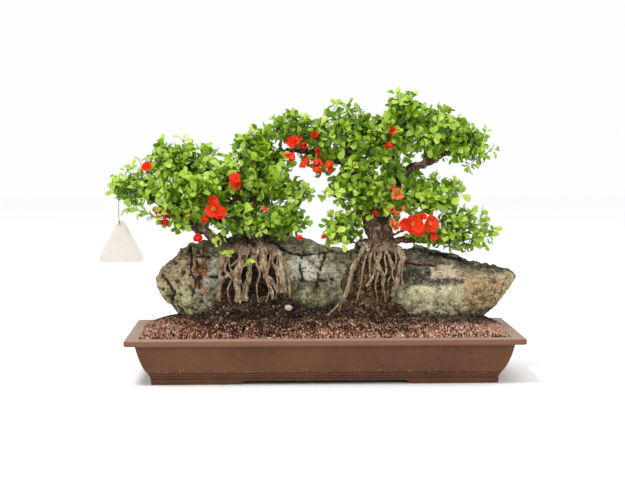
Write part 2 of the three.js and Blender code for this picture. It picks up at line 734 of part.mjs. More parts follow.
// A tapering, slightly knotty limb along a smooth curve through its points.
function limb(route, from, to, random, grow = 0, sides = LIMB_SIDES) {
  const curve = new THREE.CatmullRomCurve3(route.map(vector), false, "centripetal");
  const steps = Math.max(route.length > 2 ? 2 : 1, Math.round(curve.getLength() / LIMB_STEP));
  const frames = curve.computeFrenetFrames(steps, false);
  const rings = [];
  for (let s = 0; s <= steps; s += 1) {
    const t = s / steps;
    const centre = curve.getPointAt(t);
    if (s === 0) centre.addScaledVector(frames.tangents[0], -grow);
    if (s === steps) centre.addScaledVector(frames.tangents[steps], grow);
    const radius = THREE.MathUtils.lerp(from, to, t ** LIMB_TAPER);
    const ring = [];
    for (let i = 0; i < sides; i += 1) {
      const angle = (i / sides) * 2 * Math.PI;
      const rough = 1 + LIMB_ROUGHNESS * (2 * random() - 1);
      const reach = radius * rough + grow;
      const point = centre.clone();
      point.addScaledVector(frames.normals[s], Math.cos(angle) * reach);
      point.addScaledVector(frames.binormals[s], Math.sin(angle) * reach);
      ring.push(point);
    }
    rings.push(ring);
  }
  return loft(rings);
}

// All limbs of one plant in one grown piece.
function makeWood(limbs, seed, grow = 0) {
  const random = seeded(seed);
  const sides = (from) => {
    if (from < THIN_LIMB) return SPUR_SIDES;
    return from > THICK_LIMB ? LIMB_SIDES : ROOT_SIDES;
  };
  return union(limbs.map(([route, from, to]) => limb(route, from, to, random, grow, sides(from))));
}

// Blades that spread round an axis from one middle: thin, cupped, joined at their notches, with
// a stalk that tapers down to a foot. Each blade is a half outline mirrored about its rib, with a
// fan on each face.
function whorl(middle, axis, foot, form, random, grow = 0) {
  const { blades, length, width, lift, notch, cup, thickness, sway, outline } = form;
  const side = new THREE.Vector3(0.3, 0.2, 1).cross(axis).normalize();
  const turned = (angle) => side.clone().applyAxisAngle(axis, angle);
  const reach = notch * length + grow;
  const deeper = reach / (notch * length);
  const points = [middle.clone().addScaledVector(axis, grow), middle.clone().lerp(foot, deeper)];
  const triangles = [];
  const start = random() * 2 * Math.PI;
  const spacing = (2 * Math.PI) / blades;
  for (let i = 0; i < blades; i += 1) {
    const outwards = turned(start + (i - 0.5) * spacing).multiplyScalar(reach).add(middle);
    const level = NOTCH_RISE * reach;
    points.push(outwards.clone().addScaledVector(axis, level + grow));
    points.push(outwards.clone().addScaledVector(axis, level - NOTCH_THICKNESS - grow));
  }
  const notchAbove = (i) => 2 + 2 * (i % blades);
  const notchBelow = (i) => notchAbove(i) + 1;
  for (let i = 0; i < blades; i += 1) {
    const spoke = turned(start + (i + sway * (random() - 0.5)) * spacing);
    const across = new THREE.Vector3().crossVectors(axis, spoke);
    const rise = THREE.MathUtils.degToRad(lift + LIFT_SPREAD * (random() - 0.5));
    const size = length * (LEAST_BLADE + BLADE_SPREAD * random());
    const along = spoke.clone().multiplyScalar(Math.cos(rise)).addScaledVector(axis, Math.sin(rise));
    const face = axis.clone().multiplyScalar(Math.cos(rise)).addScaledVector(spoke, -Math.sin(rise));
    const place = (u, v, w) =>
      middle
        .clone()
        .addScaledVector(along, u * (size + grow))
        .addScaledVector(across, v * width + Math.sign(v) * grow)
        .addScaledVector(face, w);
    const right = outline.map(([u, v]) => place(u, -v, 0));
    const left = outline.map(([u, v]) => place(u, v, 0)).reverse();
    const first = points.length;
    points.push(...right, place(1, 0, 0), ...left);
    const rim = Array.from({ length: points.length - first }, (_, n) => first + n);
    const [fromAbove, toAbove] = [notchAbove(i), notchAbove(i + 1)];
    const [fromBelow, toBelow] = [notchBelow(i), notchBelow(i + 1)];
    const fan = (hub, edge) => edge.slice(1).map((point, n) => [hub, edge[n], point]);
    if (cup) {
      points.push(place(BLADE_MIDDLE, 0, grow - cup));
      triangles.push(...fan(points.length - 1, [fromAbove, ...rim, toAbove, fromAbove]));
    } else {
      const half = outline.length;
      const others = [...rim.slice(half + 1), toAbove, fromAbove, ...rim.slice(0, half)];
      triangles.push(...fan(rim[half], others));
    }
    points.push(place(BLADE_MIDDLE, 0, -cup - thickness - grow));
    const below = points.length - 1;
    triangles.push(...fan(below, [toBelow, ...rim.slice().reverse(), fromBelow, toBelow]));
    triangles.push([rim[0], fromAbove, fromBelow], [toAbove, rim[rim.length - 1], toBelow]);
    triangles.push([0, fromAbove, toAbove], [1, toBelow, fromBelow]);
  }
  return solidFrom(points, triangles);
}

// A bloom, or a truss of neighbours: petals on a stalk that widens to the cup.
function makeBloom(flowers, seed, grow = 0) {
  const random = seeded(seed);
  const solids = [];
  for (const [centre, facing, length, blades, lift, start] of flowers) {
    const axis = vector(facing).normalize();
    const middle = vector(centre);
    const stalk = vector(start).sub(middle);
    const foot = middle.clone().addScaledVector(stalk, 1 + STALK_ROOT / stalk.length());
    // Petals side by side fill the ring, and a closing bloom narrows them.
    const outline = lift < OPEN_ANGLE ? OPEN_OUTLINE : CLOSED_OUTLINE;
    const share = Math.tan((Math.PI / blades) * (1 - PETAL.sway));
    const flat = Math.cos(THREE.MathUtils.degToRad(lift));
    const room = Math.min(...outline.map(([u, v]) => (u * flat * share) / v));
    const width = length * THREE.MathUtils.clamp(room, ...PETAL_WIDTHS);
    const form = { ...PETAL, blades, length, lift, width, outline };
    solids.push(whorl(middle, axis, foot, form, random, grow));
  }
  return union(solids);
}

// A tuft of stamens on a small button, standing along the bloom's axis.
function makeStamens([centre, facing], seed, grow = 0) {
  const random = seeded(seed);
  const axis = vector(facing).normalize();
  const base = vector(centre).addScaledVector(axis, 1.2);
  const ends = [base, base.clone().addScaledVector(axis, 3)].map((p) => p.toArray());
  const solids = [limb(ends, STAMEN_BUTTON, STAMEN_BUTTON * 0.7, random, grow, 4)];
  const side = new THREE.Vector3(0.3, 0.2, 1).cross(axis).normalize();
  for (let i = 0; i < STAMEN_COUNT; i += 1) {
    const spoke = side.clone().applyAxisAngle(axis, (i / STAMEN_COUNT) * 2 * Math.PI);
    const along = axis.clone().addScaledVector(spoke, STAMEN_SPREAD[i % 2]).normalize();
    const root = base.clone().addScaledVector(axis, 1).addScaledVector(spoke, 0.8);
    const tip = root.clone().addScaledVector(along, STAMEN_LENGTH * (0.85 + 0.2 * random()));
    solids.push(limb([root.toArray(), tip.toArray()], ...STAMEN_RADII, random, grow, 3));
  }
  return union(solids);
}

// Tag: a triangle card with round corners and a hole near its top.
function makeTag(grow = 0) {
  const [apexX, apexZ] = TAG_APEX;
  const corners = [
    [apexX, apexZ - TAG_ROUND],
    [apexX - TAG_HALF_WIDTH + TAG_ROUND, TAG_BASE + TAG_ROUND],
    [apexX + TAG_HALF_WIDTH - TAG_ROUND, TAG_BASE + TAG_ROUND],
  ];
  const slope = Math.atan2(corners[0][1] - corners[1][1], corners[0][0] - corners[1][0]);
  const shape = new THREE.Shape();
  const arcs = [
    [corners[0], Math.PI / 2 - slope, Math.PI / 2 + slope],
    [corners[1], Math.PI / 2 + slope, 1.5 * Math.PI],
    [corners[2], 1.5 * Math.PI, 2.5 * Math.PI - slope],
  ];
  arcs.forEach(([[x, z], from, to]) => shape.absarc(x, z, TAG_ROUND + grow, from, to, false));
  if (!grow) {
    const hole = new THREE.Path();
    hole.absarc(TAG_HOLE[0], TAG_HOLE[1], TAG_HOLE_RADIUS, 0, 2 * Math.PI, true);
    shape.holes.push(hole);
  }
  const depth = TAG_THICKNESS + 2 * grow;
  const geometry = new THREE.ExtrudeGeometry(shape, { depth, bevelEnabled: false, curveSegments: 5 });
  geometry.rotateX(Math.PI / 2);
  return toSolid(geometry.translate(0, TAG_Y + depth / 2, 0));
}

// Thread: from under the twig's tip straight down, then forward through the tag's hole.
function makeThread(grow = 0) {
  const [x, z] = TAG_HOLE;
  const top = THREAD_TOP + grow;
  const route = [
    [-316, TAG_Y, top],
    [-316.2, TAG_Y - 0.6, top - 14],
    [-316, TAG_Y - 1.8, z + 12],
    [-315, TAG_Y - 1.9, z + 4],
    [x, TAG_Y - 1.5, z],
    [x, TAG_Y + 1.2, z - 0.3],
  ];
  const path = new THREE.CatmullRomCurve3(route.map(vector), false, "centripetal");
  const circle = new THREE.Shape().absarc(0, 0, THREAD_RADIUS + grow, 0, 2 * Math.PI, false);
  const geometry = new THREE.ExtrudeGeometry(circle, {
    steps: THREAD_STEPS,
    extrudePath: path,
    bevelEnabled: false,
    curveSegments: 4,
  });
  return toSolid(geometry);
}

// Directions spread evenly round a ball, the nearest thing to an even coat of leaves.
function evenDirections(count, random) {
  const golden = Math.PI * (3 - Math.sqrt(5));
  const turn = random() * 2 * Math.PI;
  return Array.from({ length: count }, (_, i) => {
    const z = 1 - (2 * (i + 0.5)) / count;
    const flat = Math.sqrt(1 - z * z);
    return new THREE.Vector3(flat * Math.cos(turn + golden * i), flat * Math.sin(turn + golden * i), z);
  });
}

// A place for a rosette: its middle just over the core, its axis mostly outwards and upwards.
function rosettePlace(centre, half, direction, random) {
  const shell = vector(half).multiply(direction).multiplyScalar(CORE_SHARE);
  const out = vector(half.map((v) => 1 / v)).multiply(direction).normalize();
  const rise = THREE.MathUtils.lerp(...ROSETTE_RISE, random());
  const middle = vector(centre).add(shell).addScaledVector(out, rise);
  const wander = new THREE.Vector3(random() - 0.5, random() - 0.5, random() - 0.2);
  const axis = out.clone().addScaledVector(wander, ROSETTE_STRAY).normalize();
  return { middle, axis, foot: middle.clone().addScaledVector(axis, -LEAF.spike) };
}

// Wood and what carries it.
const leftWood = makeWood(LEFT_LIMBS, 41);
const rightWood = makeWood(RIGHT_LIMBS, 43);
const woodRoom = [makeWood(LEFT_LIMBS, 41, GAP), makeWood(RIGHT_LIMBS, 43, GAP)];
const allWoodRoom = union(woodRoom);
const rock = largest(makeRock().subtract(allWoodRoom));
const rockRoom = makeRock(GAP);
const carried = allWoodRoom.add(rockRoom);
const rootSoil = {};
let groundRoom = carried;
for (const side of ["left", "right"]) {
  rootSoil[side] = largest(makeRootSoil(side).subtract(groundRoom));
  groundRoom = groundRoom.add(makeRootSoil(side, GAP));
}
const screens = [-1, 0, 1].map((place) => makeScreen(place * DRAIN_SPACING));
const screenRoom = [-1, 0, 1].map((place) => {
  const side = SCREEN_SIDE + 2 * GAP;
  const box = new THREE.BoxGeometry(side, side, 2 * (SCREEN_THICKNESS + 2 * GAP));
  return toSolid(box.translate(place * DRAIN_SPACING, 0, FLOOR_TOP + GAP));
});
const soil = largest(makeSoil().subtract(groundRoom).subtract(union(screenRoom)));

addPiece("pot", makePot(), "clay");
screens.forEach((screen, i) => addPiece(`drain_screen_${i + 1}`, screen, "screen"));
addPiece("soil", soil, "gravel");
addPiece("rock", rock, "rock");
addPiece("left_root_soil", rootSoil.left, "rootSoil");
addPiece("right_root_soil", rootSoil.right, "rootSoil");
addPiece("left_wood", leftWood, "bark");
addPiece("right_wood", rightWood, "bark");

// Tag on its thread.
addPiece("thread", makeThread(), "thread");
addPiece("tag", makeTag(), "card");

// Blooms, each clear of the wood and of the stamens that stand in it.
const obstacles = [...woodRoom, rockRoom, makeThread(GAP), makeTag(GAP)].map(withBall);
for (const side of ["left", "right"]) obstacles.push(withBall(makeRootSoil(side, GAP)));
let bloomRoom = null;
Object.entries(BLOOMS).forEach(([name, flowers], i) => {
  const seed = 60 + i;
  let bloom = makeBloom(flowers, seed).subtract(carried);
  if (bloomRoom) bloom = bloom.subtract(bloomRoom);
  if (OPEN_BLOOMS.includes(name)) {
    const stamens = makeStamens(flowers[0], seed);
    bloom = bloom.subtract(makeStamens(flowers[0], seed, GAP));
    addPiece(name.replace("bloom", "stamens"), stamens, "stamen");
    obstacles.push(withBall(makeStamens(flowers[0], seed, GAP)));
  }
  addPiece(name, largest(bloom), "petal");
  const room = makeBloom(flowers, seed, GAP);
  obstacles.push(withBall(room));
  bloomRoom = bloomRoom ? bloomRoom.add(room) : room;
});

// Sprays: the cores of all of them first, so that no leaf runs into another spray.
const taken = carried.add(bloomRoom).add(makeThread(GAP));
let coreRoom = null;
const cores = Object.entries(SPRAYS).map(([name, [centre, half]], i) => {
  const small = half.map((v) => v * CORE_SHARE);
  const shape = (grow) => lump(centre, small, 0, CORE_BUMP, seeded(100 + i), grow);
  let core = shape(0).subtract(taken);
  if (coreRoom) core = core.subtract(coreRoom);
  const room = shape(GAP);
  coreRoom = coreRoom ? coreRoom.add(room) : room;
  return { name, centre, half, core: largest(core), room: withBall(room) };
});

// Rosettes of each spray, evenly round its core and clear of all that is not the spray.
const leafRooms = [];
cores.forEach(({ name, centre, half, core, room }, i) => {
  const random = seeded(200 + i);
  const others = [...obstacles, ...cores.filter((c) => c.name !== name).map((c) => c.room)];
  const [a, b, c] = half;
  const area = (4 * Math.PI * (a * b + b * c + c * a)) / 3;
  const count = Math.max(3, Math.round(area * ROSETTES_BY_AREA));
  const rosettes = [];
  for (const direction of evenDirections(count, random)) {
    for (let attempt = 0; attempt < ROSETTE_TRIES; attempt += 1) {
      const { middle, axis, foot } = rosettePlace(centre, half, direction, random);
      const blades = attempt < ROSETTE_TRIES / 2 ? LEAF.blades : LEAF.blades - 1;
      const seed = Math.floor(random() * 1e6);
      const rosette = whorl(middle, axis, foot, { ...LEAF, blades }, seeded(seed));
      const tested = withBall(rosette);
      const rooted = overlaps(rosette, core, ROSETTE_ROOT);
      if (rooted && !clashes(tested, others) && !clashes(tested, leafRooms)) {
        rosettes.push(rosette);
        leafRooms.push(withBall(whorl(middle, axis, foot, { ...LEAF, blades }, seeded(seed), GAP)));
        break;
      }
    }
  }
  addPiece(`spray_${name}`, largest(union([core, ...rosettes])), "leaf");
});

export default whole;
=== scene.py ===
"""Chojubai flowering quince bonsai: two quinces over a long rock, in a tray of red-brown gravel.

Blender works in metres, +Z up. The tables hold millimetres from the middle of the tray's underside.
"""

import json
import logging
import math
import random
from collections.abc import Callable, Sequence
from dataclasses import dataclass, field
from enum import Enum, StrEnum

import bmesh
import bpy
import numpy as np
from bpy.types import Collection, Material, Mesh, Node, NodeSocket, Object
from mathutils import Matrix, Quaternion, Vector, noise
from mathutils.bvhtree import BVHTree

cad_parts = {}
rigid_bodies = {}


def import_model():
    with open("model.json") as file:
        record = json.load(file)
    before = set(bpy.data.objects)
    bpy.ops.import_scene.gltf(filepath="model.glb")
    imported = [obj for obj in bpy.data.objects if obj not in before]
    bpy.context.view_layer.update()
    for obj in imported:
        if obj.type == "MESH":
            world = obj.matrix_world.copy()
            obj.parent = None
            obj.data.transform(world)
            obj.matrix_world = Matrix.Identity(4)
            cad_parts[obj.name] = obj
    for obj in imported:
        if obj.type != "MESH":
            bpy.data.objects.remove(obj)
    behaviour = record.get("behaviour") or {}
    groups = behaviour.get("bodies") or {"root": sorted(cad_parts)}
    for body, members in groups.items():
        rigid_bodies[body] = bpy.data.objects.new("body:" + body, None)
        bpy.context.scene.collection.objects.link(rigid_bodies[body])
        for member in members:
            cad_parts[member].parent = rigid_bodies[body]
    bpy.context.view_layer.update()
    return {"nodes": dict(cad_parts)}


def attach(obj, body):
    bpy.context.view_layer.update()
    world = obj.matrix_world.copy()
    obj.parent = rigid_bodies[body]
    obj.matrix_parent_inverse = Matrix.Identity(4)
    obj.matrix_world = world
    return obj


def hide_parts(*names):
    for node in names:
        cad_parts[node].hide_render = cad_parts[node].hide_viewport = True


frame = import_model()
LOG = logging.getLogger("quince")

MM = 0.001
# How far the tray's middle lies from the middle of the whole object's width.
TRAY_X = 10.0
TRAY_MIDDLE = Vector((TRAY_X, 0, 0))

UP = Vector((0, 0, 1))
# Turn from each seed of a flower head to the next, which fills a round surface evenly.
GOLDEN = math.pi * (3 - math.sqrt(5))

Triple = tuple[float, float, float]


class Side(StrEnum):
    """The two plants, by their side of the tray."""

    LEFT = "left"
    RIGHT = "right"


def spot(point: Sequence[float]) -> Vector:
    """A point of the tables, in metres."""
    return Vector((point[0] + TRAY_X, point[1], point[2])) * MM


def tone(red: float, green: float, blue: float) -> tuple[float, float, float, float]:
    """A colour as it looks on a screen, 0 to 255, as linear light.

    Args:
        red, green, blue: The parts of the colour.

    Returns:
        Linear red, green and blue with full opacity.
    """
    parts = [value / 255 for value in (red, green, blue)]
    linear = [v / 12.92 if v <= 0.04045 else ((v + 0.055) / 1.055) ** 2.4 for v in parts]
    return (*linear, 1.0)


def smooth(value: float, low: float, high: float) -> float:
    """How far a value is on its way from low to high, eased, from 0 to 1."""
    share = min(max((value - low) / (high - low), 0.0), 1.0)
    return share * share * (3 - 2 * share)


def stray(draw: random.Random, spread: float) -> Vector:
    """A random vector whose parts stray from 0 by about the spread."""
    return Vector([draw.gauss(0, spread) for _ in range(3)])


# Shader expressions


class Level:
    """A number that varies over a surface. Arithmetic on it adds Math nodes."""

    def __init__(self, shader: "Shader", socket: NodeSocket) -> None:
        """Wraps a socket of a shader."""
        self.shader = shader
        self.socket = socket

    def __add__(self, other: "Level | float") -> "Level":
        """This level plus another."""
        return self.shader.math("ADD", self, other)

    __radd__ = __add__

    def __sub__(self, other: "Level | float") -> "Level":
        """This level less another."""
        return self.shader.math("SUBTRACT", self, other)

    def __rsub__(self, other: "Level | float") -> "Level":
        """Another level less this one."""
        return self.shader.math("SUBTRACT", other, self)

    def __mul__(self, other: "Level | float") -> "Level":
        """This level times another."""
        return self.shader.math("MULTIPLY", self, other)

    __rmul__ = __mul__

    def over(self, low: float, high: float) -> "Level":
        """0 below low, 1 above high and smooth between; a low above high turns it round.

        Args:
            low: Where it starts to rise.
            high: Where it is full.

        Returns:
            The new level.
        """
        ends = {"From Min": low, "From Max": high}
        node = self.shader.node("ShaderNodeMapRange", {"interpolation_type": "SMOOTHSTEP"}, ends)
        self.shader.feed(node.inputs["Value"], self)
        return Level(self.shader, node.outputs["Result"])

    def most(self, other: "Level | float") -> "Level":
        """The larger of two levels."""
        return self.shader.math("MAXIMUM", self, other)

    def size(self) -> "Level":
        """This level without its sign."""
        return self.shader.math("ABSOLUTE", self, 0.0)

    def fraction(self) -> "Level":
        """What this level has after its decimal point."""
        return self.shader.math("FRACT", self, 0.0)


# Specular level of a surface that doesn't shine.
DULL = 0.18


class Shader:
    """The nodes of one material: a principled surface, its patterns and its bumps."""

    def __init__(self, name: str) -> None:
        """Starts a material with a bare surface.

        Args:
            name: The material's name.
        """
        self.material = bpy.data.materials.new(name)
        self.material.use_nodes = True
        self.tree = self.material.node_tree
        self.tree.nodes.clear()
        self.output = self.node("ShaderNodeOutputMaterial")
        self.surface = self.node("ShaderNodeBsdfPrincipled")
        self.tree.links.new(self.surface.outputs[0], self.output.inputs["Surface"])
        self.place = self.node("ShaderNodeTexCoord").outputs["Object"]

    def node(self, kind: str, settings: dict | None = None, values: dict | None = None) -> Node:
        """Adds a node.

        Args:
            kind: The node's type.
            settings: Its own settings, set first; stops holds a ramp's places and colours.
            values: Values, levels or sockets for its inputs, by name or place.

        Returns:
            The node.
        """
        made = self.tree.nodes.new(kind)
        for name, value in (settings or {}).items():
            if name == "stops":
                ramp = made.color_ramp.elements
                while len(ramp) < len(value):
                    ramp.new(1.0)
                for element, (place, colour) in zip(ramp, value):
                    element.position, element.color = place, colour
            else:
                setattr(made, name, value)
        for key, value in (values or {}).items():
            self.feed(made.inputs[key], value)
        return made

    def feed(self, socket: NodeSocket, value: object) -> None:
        """Links a level or a socket to an input, or sets its value.

        Args:
            socket: The input.
            value: A level, a socket or a plain value.
        """
        source = value.socket if isinstance(value, Level) else value
        if isinstance(source, NodeSocket):
            self.tree.links.new(source, socket)
        else:
            socket.default_value = source

    def math(self, operation: str, first: "Level | float", second: "Level | float") -> Level:
        """A sum of two levels by a Math node."""
        node = self.node("ShaderNodeMath", {"operation": operation}, {0: first, 1: second})
        return Level(self, node.outputs[0])

    def stretched(self, stretch: Triple, turn: Triple = (0, 0, 0), place: object = None) -> NodeSocket:
        """Object coordinates, or others, turned and stretched."""
        values = {"Vector": place or self.place, "Scale": stretch, "Rotation": turn}
        return self.node("ShaderNodeMapping", None, values).outputs["Vector"]

    def noise(self, size: float, detail: float = 3, roughness: float = 0.55, place: object = None) -> Level:
        """Soft noise whose patches are about the given size, in millimetres.

        Args:
            size: Size of the patches.
            detail: How many finer layers there are.
            roughness: How strong the finer layers are.
            place: Coordinates other than the object's.

        Returns:
            The noise.
        """
        values = {"Vector": place or self.place, "Scale": 1 / (size * MM), "Detail": detail}
        node = self.node("ShaderNodeTexNoise", None, {**values, "Roughness": roughness})
        return Level(self, node.outputs["Fac"])

    def cells(self, size: float, feature: str = "F1", place: object = None) -> Level:
        """Distance within cells of about the given size, in millimetres.

        Args:
            size: Size of the cells.
            feature: What the distance is taken from.
            place: Coordinates other than the object's.

        Returns:
            The distance.
        """
        values = {"Vector": place or self.place, "Scale": 1 / (size * MM)}
        node = self.node("ShaderNodeTexVoronoi", {"feature": feature}, values)
        return Level(self, node.outputs["Distance"])

    def attribute(self, name: str) -> Level:
        """A number kept on the mesh."""
        node = self.node("ShaderNodeAttribute", {"attribute_name": name})
        return Level(self, node.outputs["Fac"])

    def axis(self, name: str) -> Level:
        """One of the object coordinates, in millimetres."""
        node = self.node("ShaderNodeSeparateXYZ", None, {"Vector": self.place})
        return Level(self, node.outputs[name]) * (1 / MM)

    def grid(self) -> tuple[NodeSocket, Level, Level]:
        """The UV map of the mesh, whole and as its two levels.

        Returns:
            The map, then its first level and its second.
        """
        chart = self.node("ShaderNodeUVMap", {"uv_map": "grid"}).outputs["UV"]
        parts = self.node("ShaderNodeSeparateXYZ", None, {"Vector": chart}).outputs
        return chart, Level(self, parts["X"]), Level(self, parts["Y"])

    def mix(self, share: object, under: object, over: object) -> NodeSocket:
        """One colour laid over another by a share."""
        return self.node("ShaderNodeMix", {"data_type": "RGBA"}, {0: share, 6: under, 7: over}).outputs[2]

    def coats(self, base: object, *coats: tuple) -> NodeSocket:
        """A colour under coats, each a share and a colour, from the lowest to the topmost.

        Args:
            base: The lowest colour.
            coats: The coats.

        Returns:
            The topmost colour.
        """
        for share, colour in coats:
            base = self.mix(share, base, colour)
        return base

    def ramp(self, level: Level, stops: Sequence[tuple]) -> NodeSocket:
        """A colour for each value of a level."""
        return self.node("ShaderNodeValToRGB", {"stops": stops}, {"Fac": level}).outputs["Color"]

    def bump(self, height: Level, depth: float, strength: float = 0.6, over: object = None) -> object:
        """Raises the surface by a height whose full range is depth, in millimetres.

        Args:
            height: The height, from 0 to 1.
            depth: Its full range.
            strength: How strongly it shows.
            over: Normal of the bumps beneath.

        Returns:
            The normal.
        """
        values = {"Strength": strength, "Distance": depth * MM, "Height": height}
        if over is not None:
            values["Normal"] = over
        return self.node("ShaderNodeBump", None, values).outputs["Normal"]

    def done(self, colour: object, roughness: object, normal: object = None, **others: object) -> Material:
        """Feeds the surface.

        Args:
            colour: Base colour.
            roughness: Roughness.
            normal: Normal of the bumps.
            others: Other inputs, by name with underscores for spaces.

        Returns:
            The material.
        """
        self.feed(self.surface.inputs["Base Color"], colour)
        self.feed(self.surface.inputs["Roughness"], roughness)
        if normal is not None:
            self.feed(self.surface.inputs["Normal"], normal)
        for name, value in {"Specular_IOR_Level": DULL, **others}.items():
            self.feed(self.surface.inputs[name.replace("_", " ")], value)
        return self.material

    def lit_through(self, colour: object, share: float) -> Material:
        """Lets a share of the light through the surface, in a colour.

        Args:
            colour: Colour of that light.
            share: The share.

        Returns:
            The material.
        """
        light = self.node("ShaderNodeBsdfTranslucent", None, {"Color": colour})
        values = {0: share, 1: self.surface.outputs[0], 2: light.outputs[0]}
        blend = self.node("ShaderNodeMixShader", None, values)
        self.feed(self.output.inputs["Surface"], blend.outputs[0])
        return self.material


# Finishes


@dataclass(frozen=True)
class Clay:
    """Unglazed brown clay, paler and pinkish where it faces up."""

    body: tuple = tone(108, 70, 45)
    dark: tuple = tone(80, 49, 31)
    edge: tuple = tone(120, 82, 63)
    worn: tuple = tone(154, 132, 117)
    lime: tuple = tone(188, 162, 138)

    def material(self) -> Material:
        """Fine grained clay with specks, soft stain patches and a little lime along the foot, and painted
        shade at the left end, under the rim and low down.

        Returns:
            The material.
        """
        made = Shader("clay")
        height, cloud, grain = made.axis("Z"), made.noise(70, 4), made.noise(1.1, 3, 0.65)
        crust = made.noise(3.5, 4, 0.7).over(0.6, 0.66) * height.over(27, 23) * height.over(13, 17)
        base = made.coats(
            self.body,
            (cloud.over(0.3, 0.7) * 0.6, self.dark),
            # Darker towards the left end: painted shade.
            (made.axis("X").over(-130, -310) * 0.35, self.dark),
            (made.noise(13, 5, 0.62).over(0.54, 0.68) * 0.35, self.edge),
            (made.noise(8, 5, 0.66).over(0.45, 0.36) * 0.4, self.dark),
            # A band just under the rim, painted dark as the rim's shadow.
            (height.over(54, 61) * height.over(66, 62) * 0.6, self.dark),
            # Darker low down towards the floor: painted shade.
            (height.over(20, 15) * 0.35, self.dark),
            (height.over(61.5, 63.5) * 0.85, self.edge),
            (height.over(70.6, 71.8) * (0.7 + 0.3 * made.noise(25, 4)), self.worn),
            (made.cells(3.4).over(0.2, 0.1) * made.noise(14, 2).over(0.52, 0.62) * 0.7, self.dark),
            (crust * 0.7, self.lime),
            (grain.over(0.56, 0.7) * 0.25, self.edge),
            (grain.over(0.44, 0.3) * 0.3, self.dark),
        )
        normal = made.bump(grain, 0.25, 0.5, made.bump(made.noise(9, 3), 0.7, 0.3))
        return made.done(base, 0.62 + 0.2 * cloud, normal, Specular_IOR_Level=0.3)


@dataclass(frozen=True)
class Gravel:
    """Fired clay grains and small stones, each of its own colour."""

    shades: tuple = (
        (0.0, tone(40, 26, 20)),
        (0.12, tone(110, 67, 49)),
        (0.34, tone(156, 98, 73)),
        (0.56, tone(188, 132, 106)),
        (0.74, tone(216, 170, 148)),
        (0.87, tone(144, 120, 104)),
        (1.0, tone(216, 194, 174)),
    )
    dust: tuple = tone(112, 72, 54)
    pale: tuple = tone(224, 186, 162)
    humus: tuple = tone(22, 16, 12)
    peat: tuple = tone(62, 45, 33)
    moss: tuple = tone(88, 86, 38)
    flake: tuple = tone(176, 144, 114)

    def material(self) -> Material:
        """Dusty grains, darkened by humus and moss near the rock.

        Returns:
            The material.
        """
        made = Shader("gravel")
        tint, along, dust = made.attribute("tint"), made.axis("X"), made.noise(1.6, 3)
        growth = made.coats(
            self.humus,
            (tint.over(0.3, 0.9), self.peat),
            (made.noise(18, 3).over(0.56, 0.64) * 0.65, self.moss),
            (tint.over(0.93, 0.96) * 0.45, self.flake),
        )
        base = made.coats(
            made.ramp(tint, self.shades),
            (dust.over(0.35, 0.7) * 0.22, self.dust),
            (along.over(-60, -220) * 0.26, self.dust),
            (along.over(60, 240) * 0.2, self.pale),
            (made.attribute("damp") * (0.7 + 0.4 * made.noise(6, 2)), growth),
        )
        return made.done(base, 0.92, made.bump(dust, 0.3, 0.6))


@dataclass(frozen=True)
class Grit:
    """The fine dark bed under the grains, darkened further as painted shade in the gaps between them."""

    # Both tones are the grit's own colour, darkened as painted shade in the gaps between the grains.
    dark: tuple = tone(26, 17, 14)
    light: tuple = tone(66, 40, 31)

    def material(self) -> Material:
        """Mixed fine grit, near black as painted shade between the grains.

        Returns:
            The material.
        """
        made = Shader("grit")
        grain = made.cells(2.6)
        base = made.mix(grain.over(0.1, 0.6), self.light, self.dark)
        return made.done(base, 0.95, made.bump(1 - grain, 1.2, 0.8))


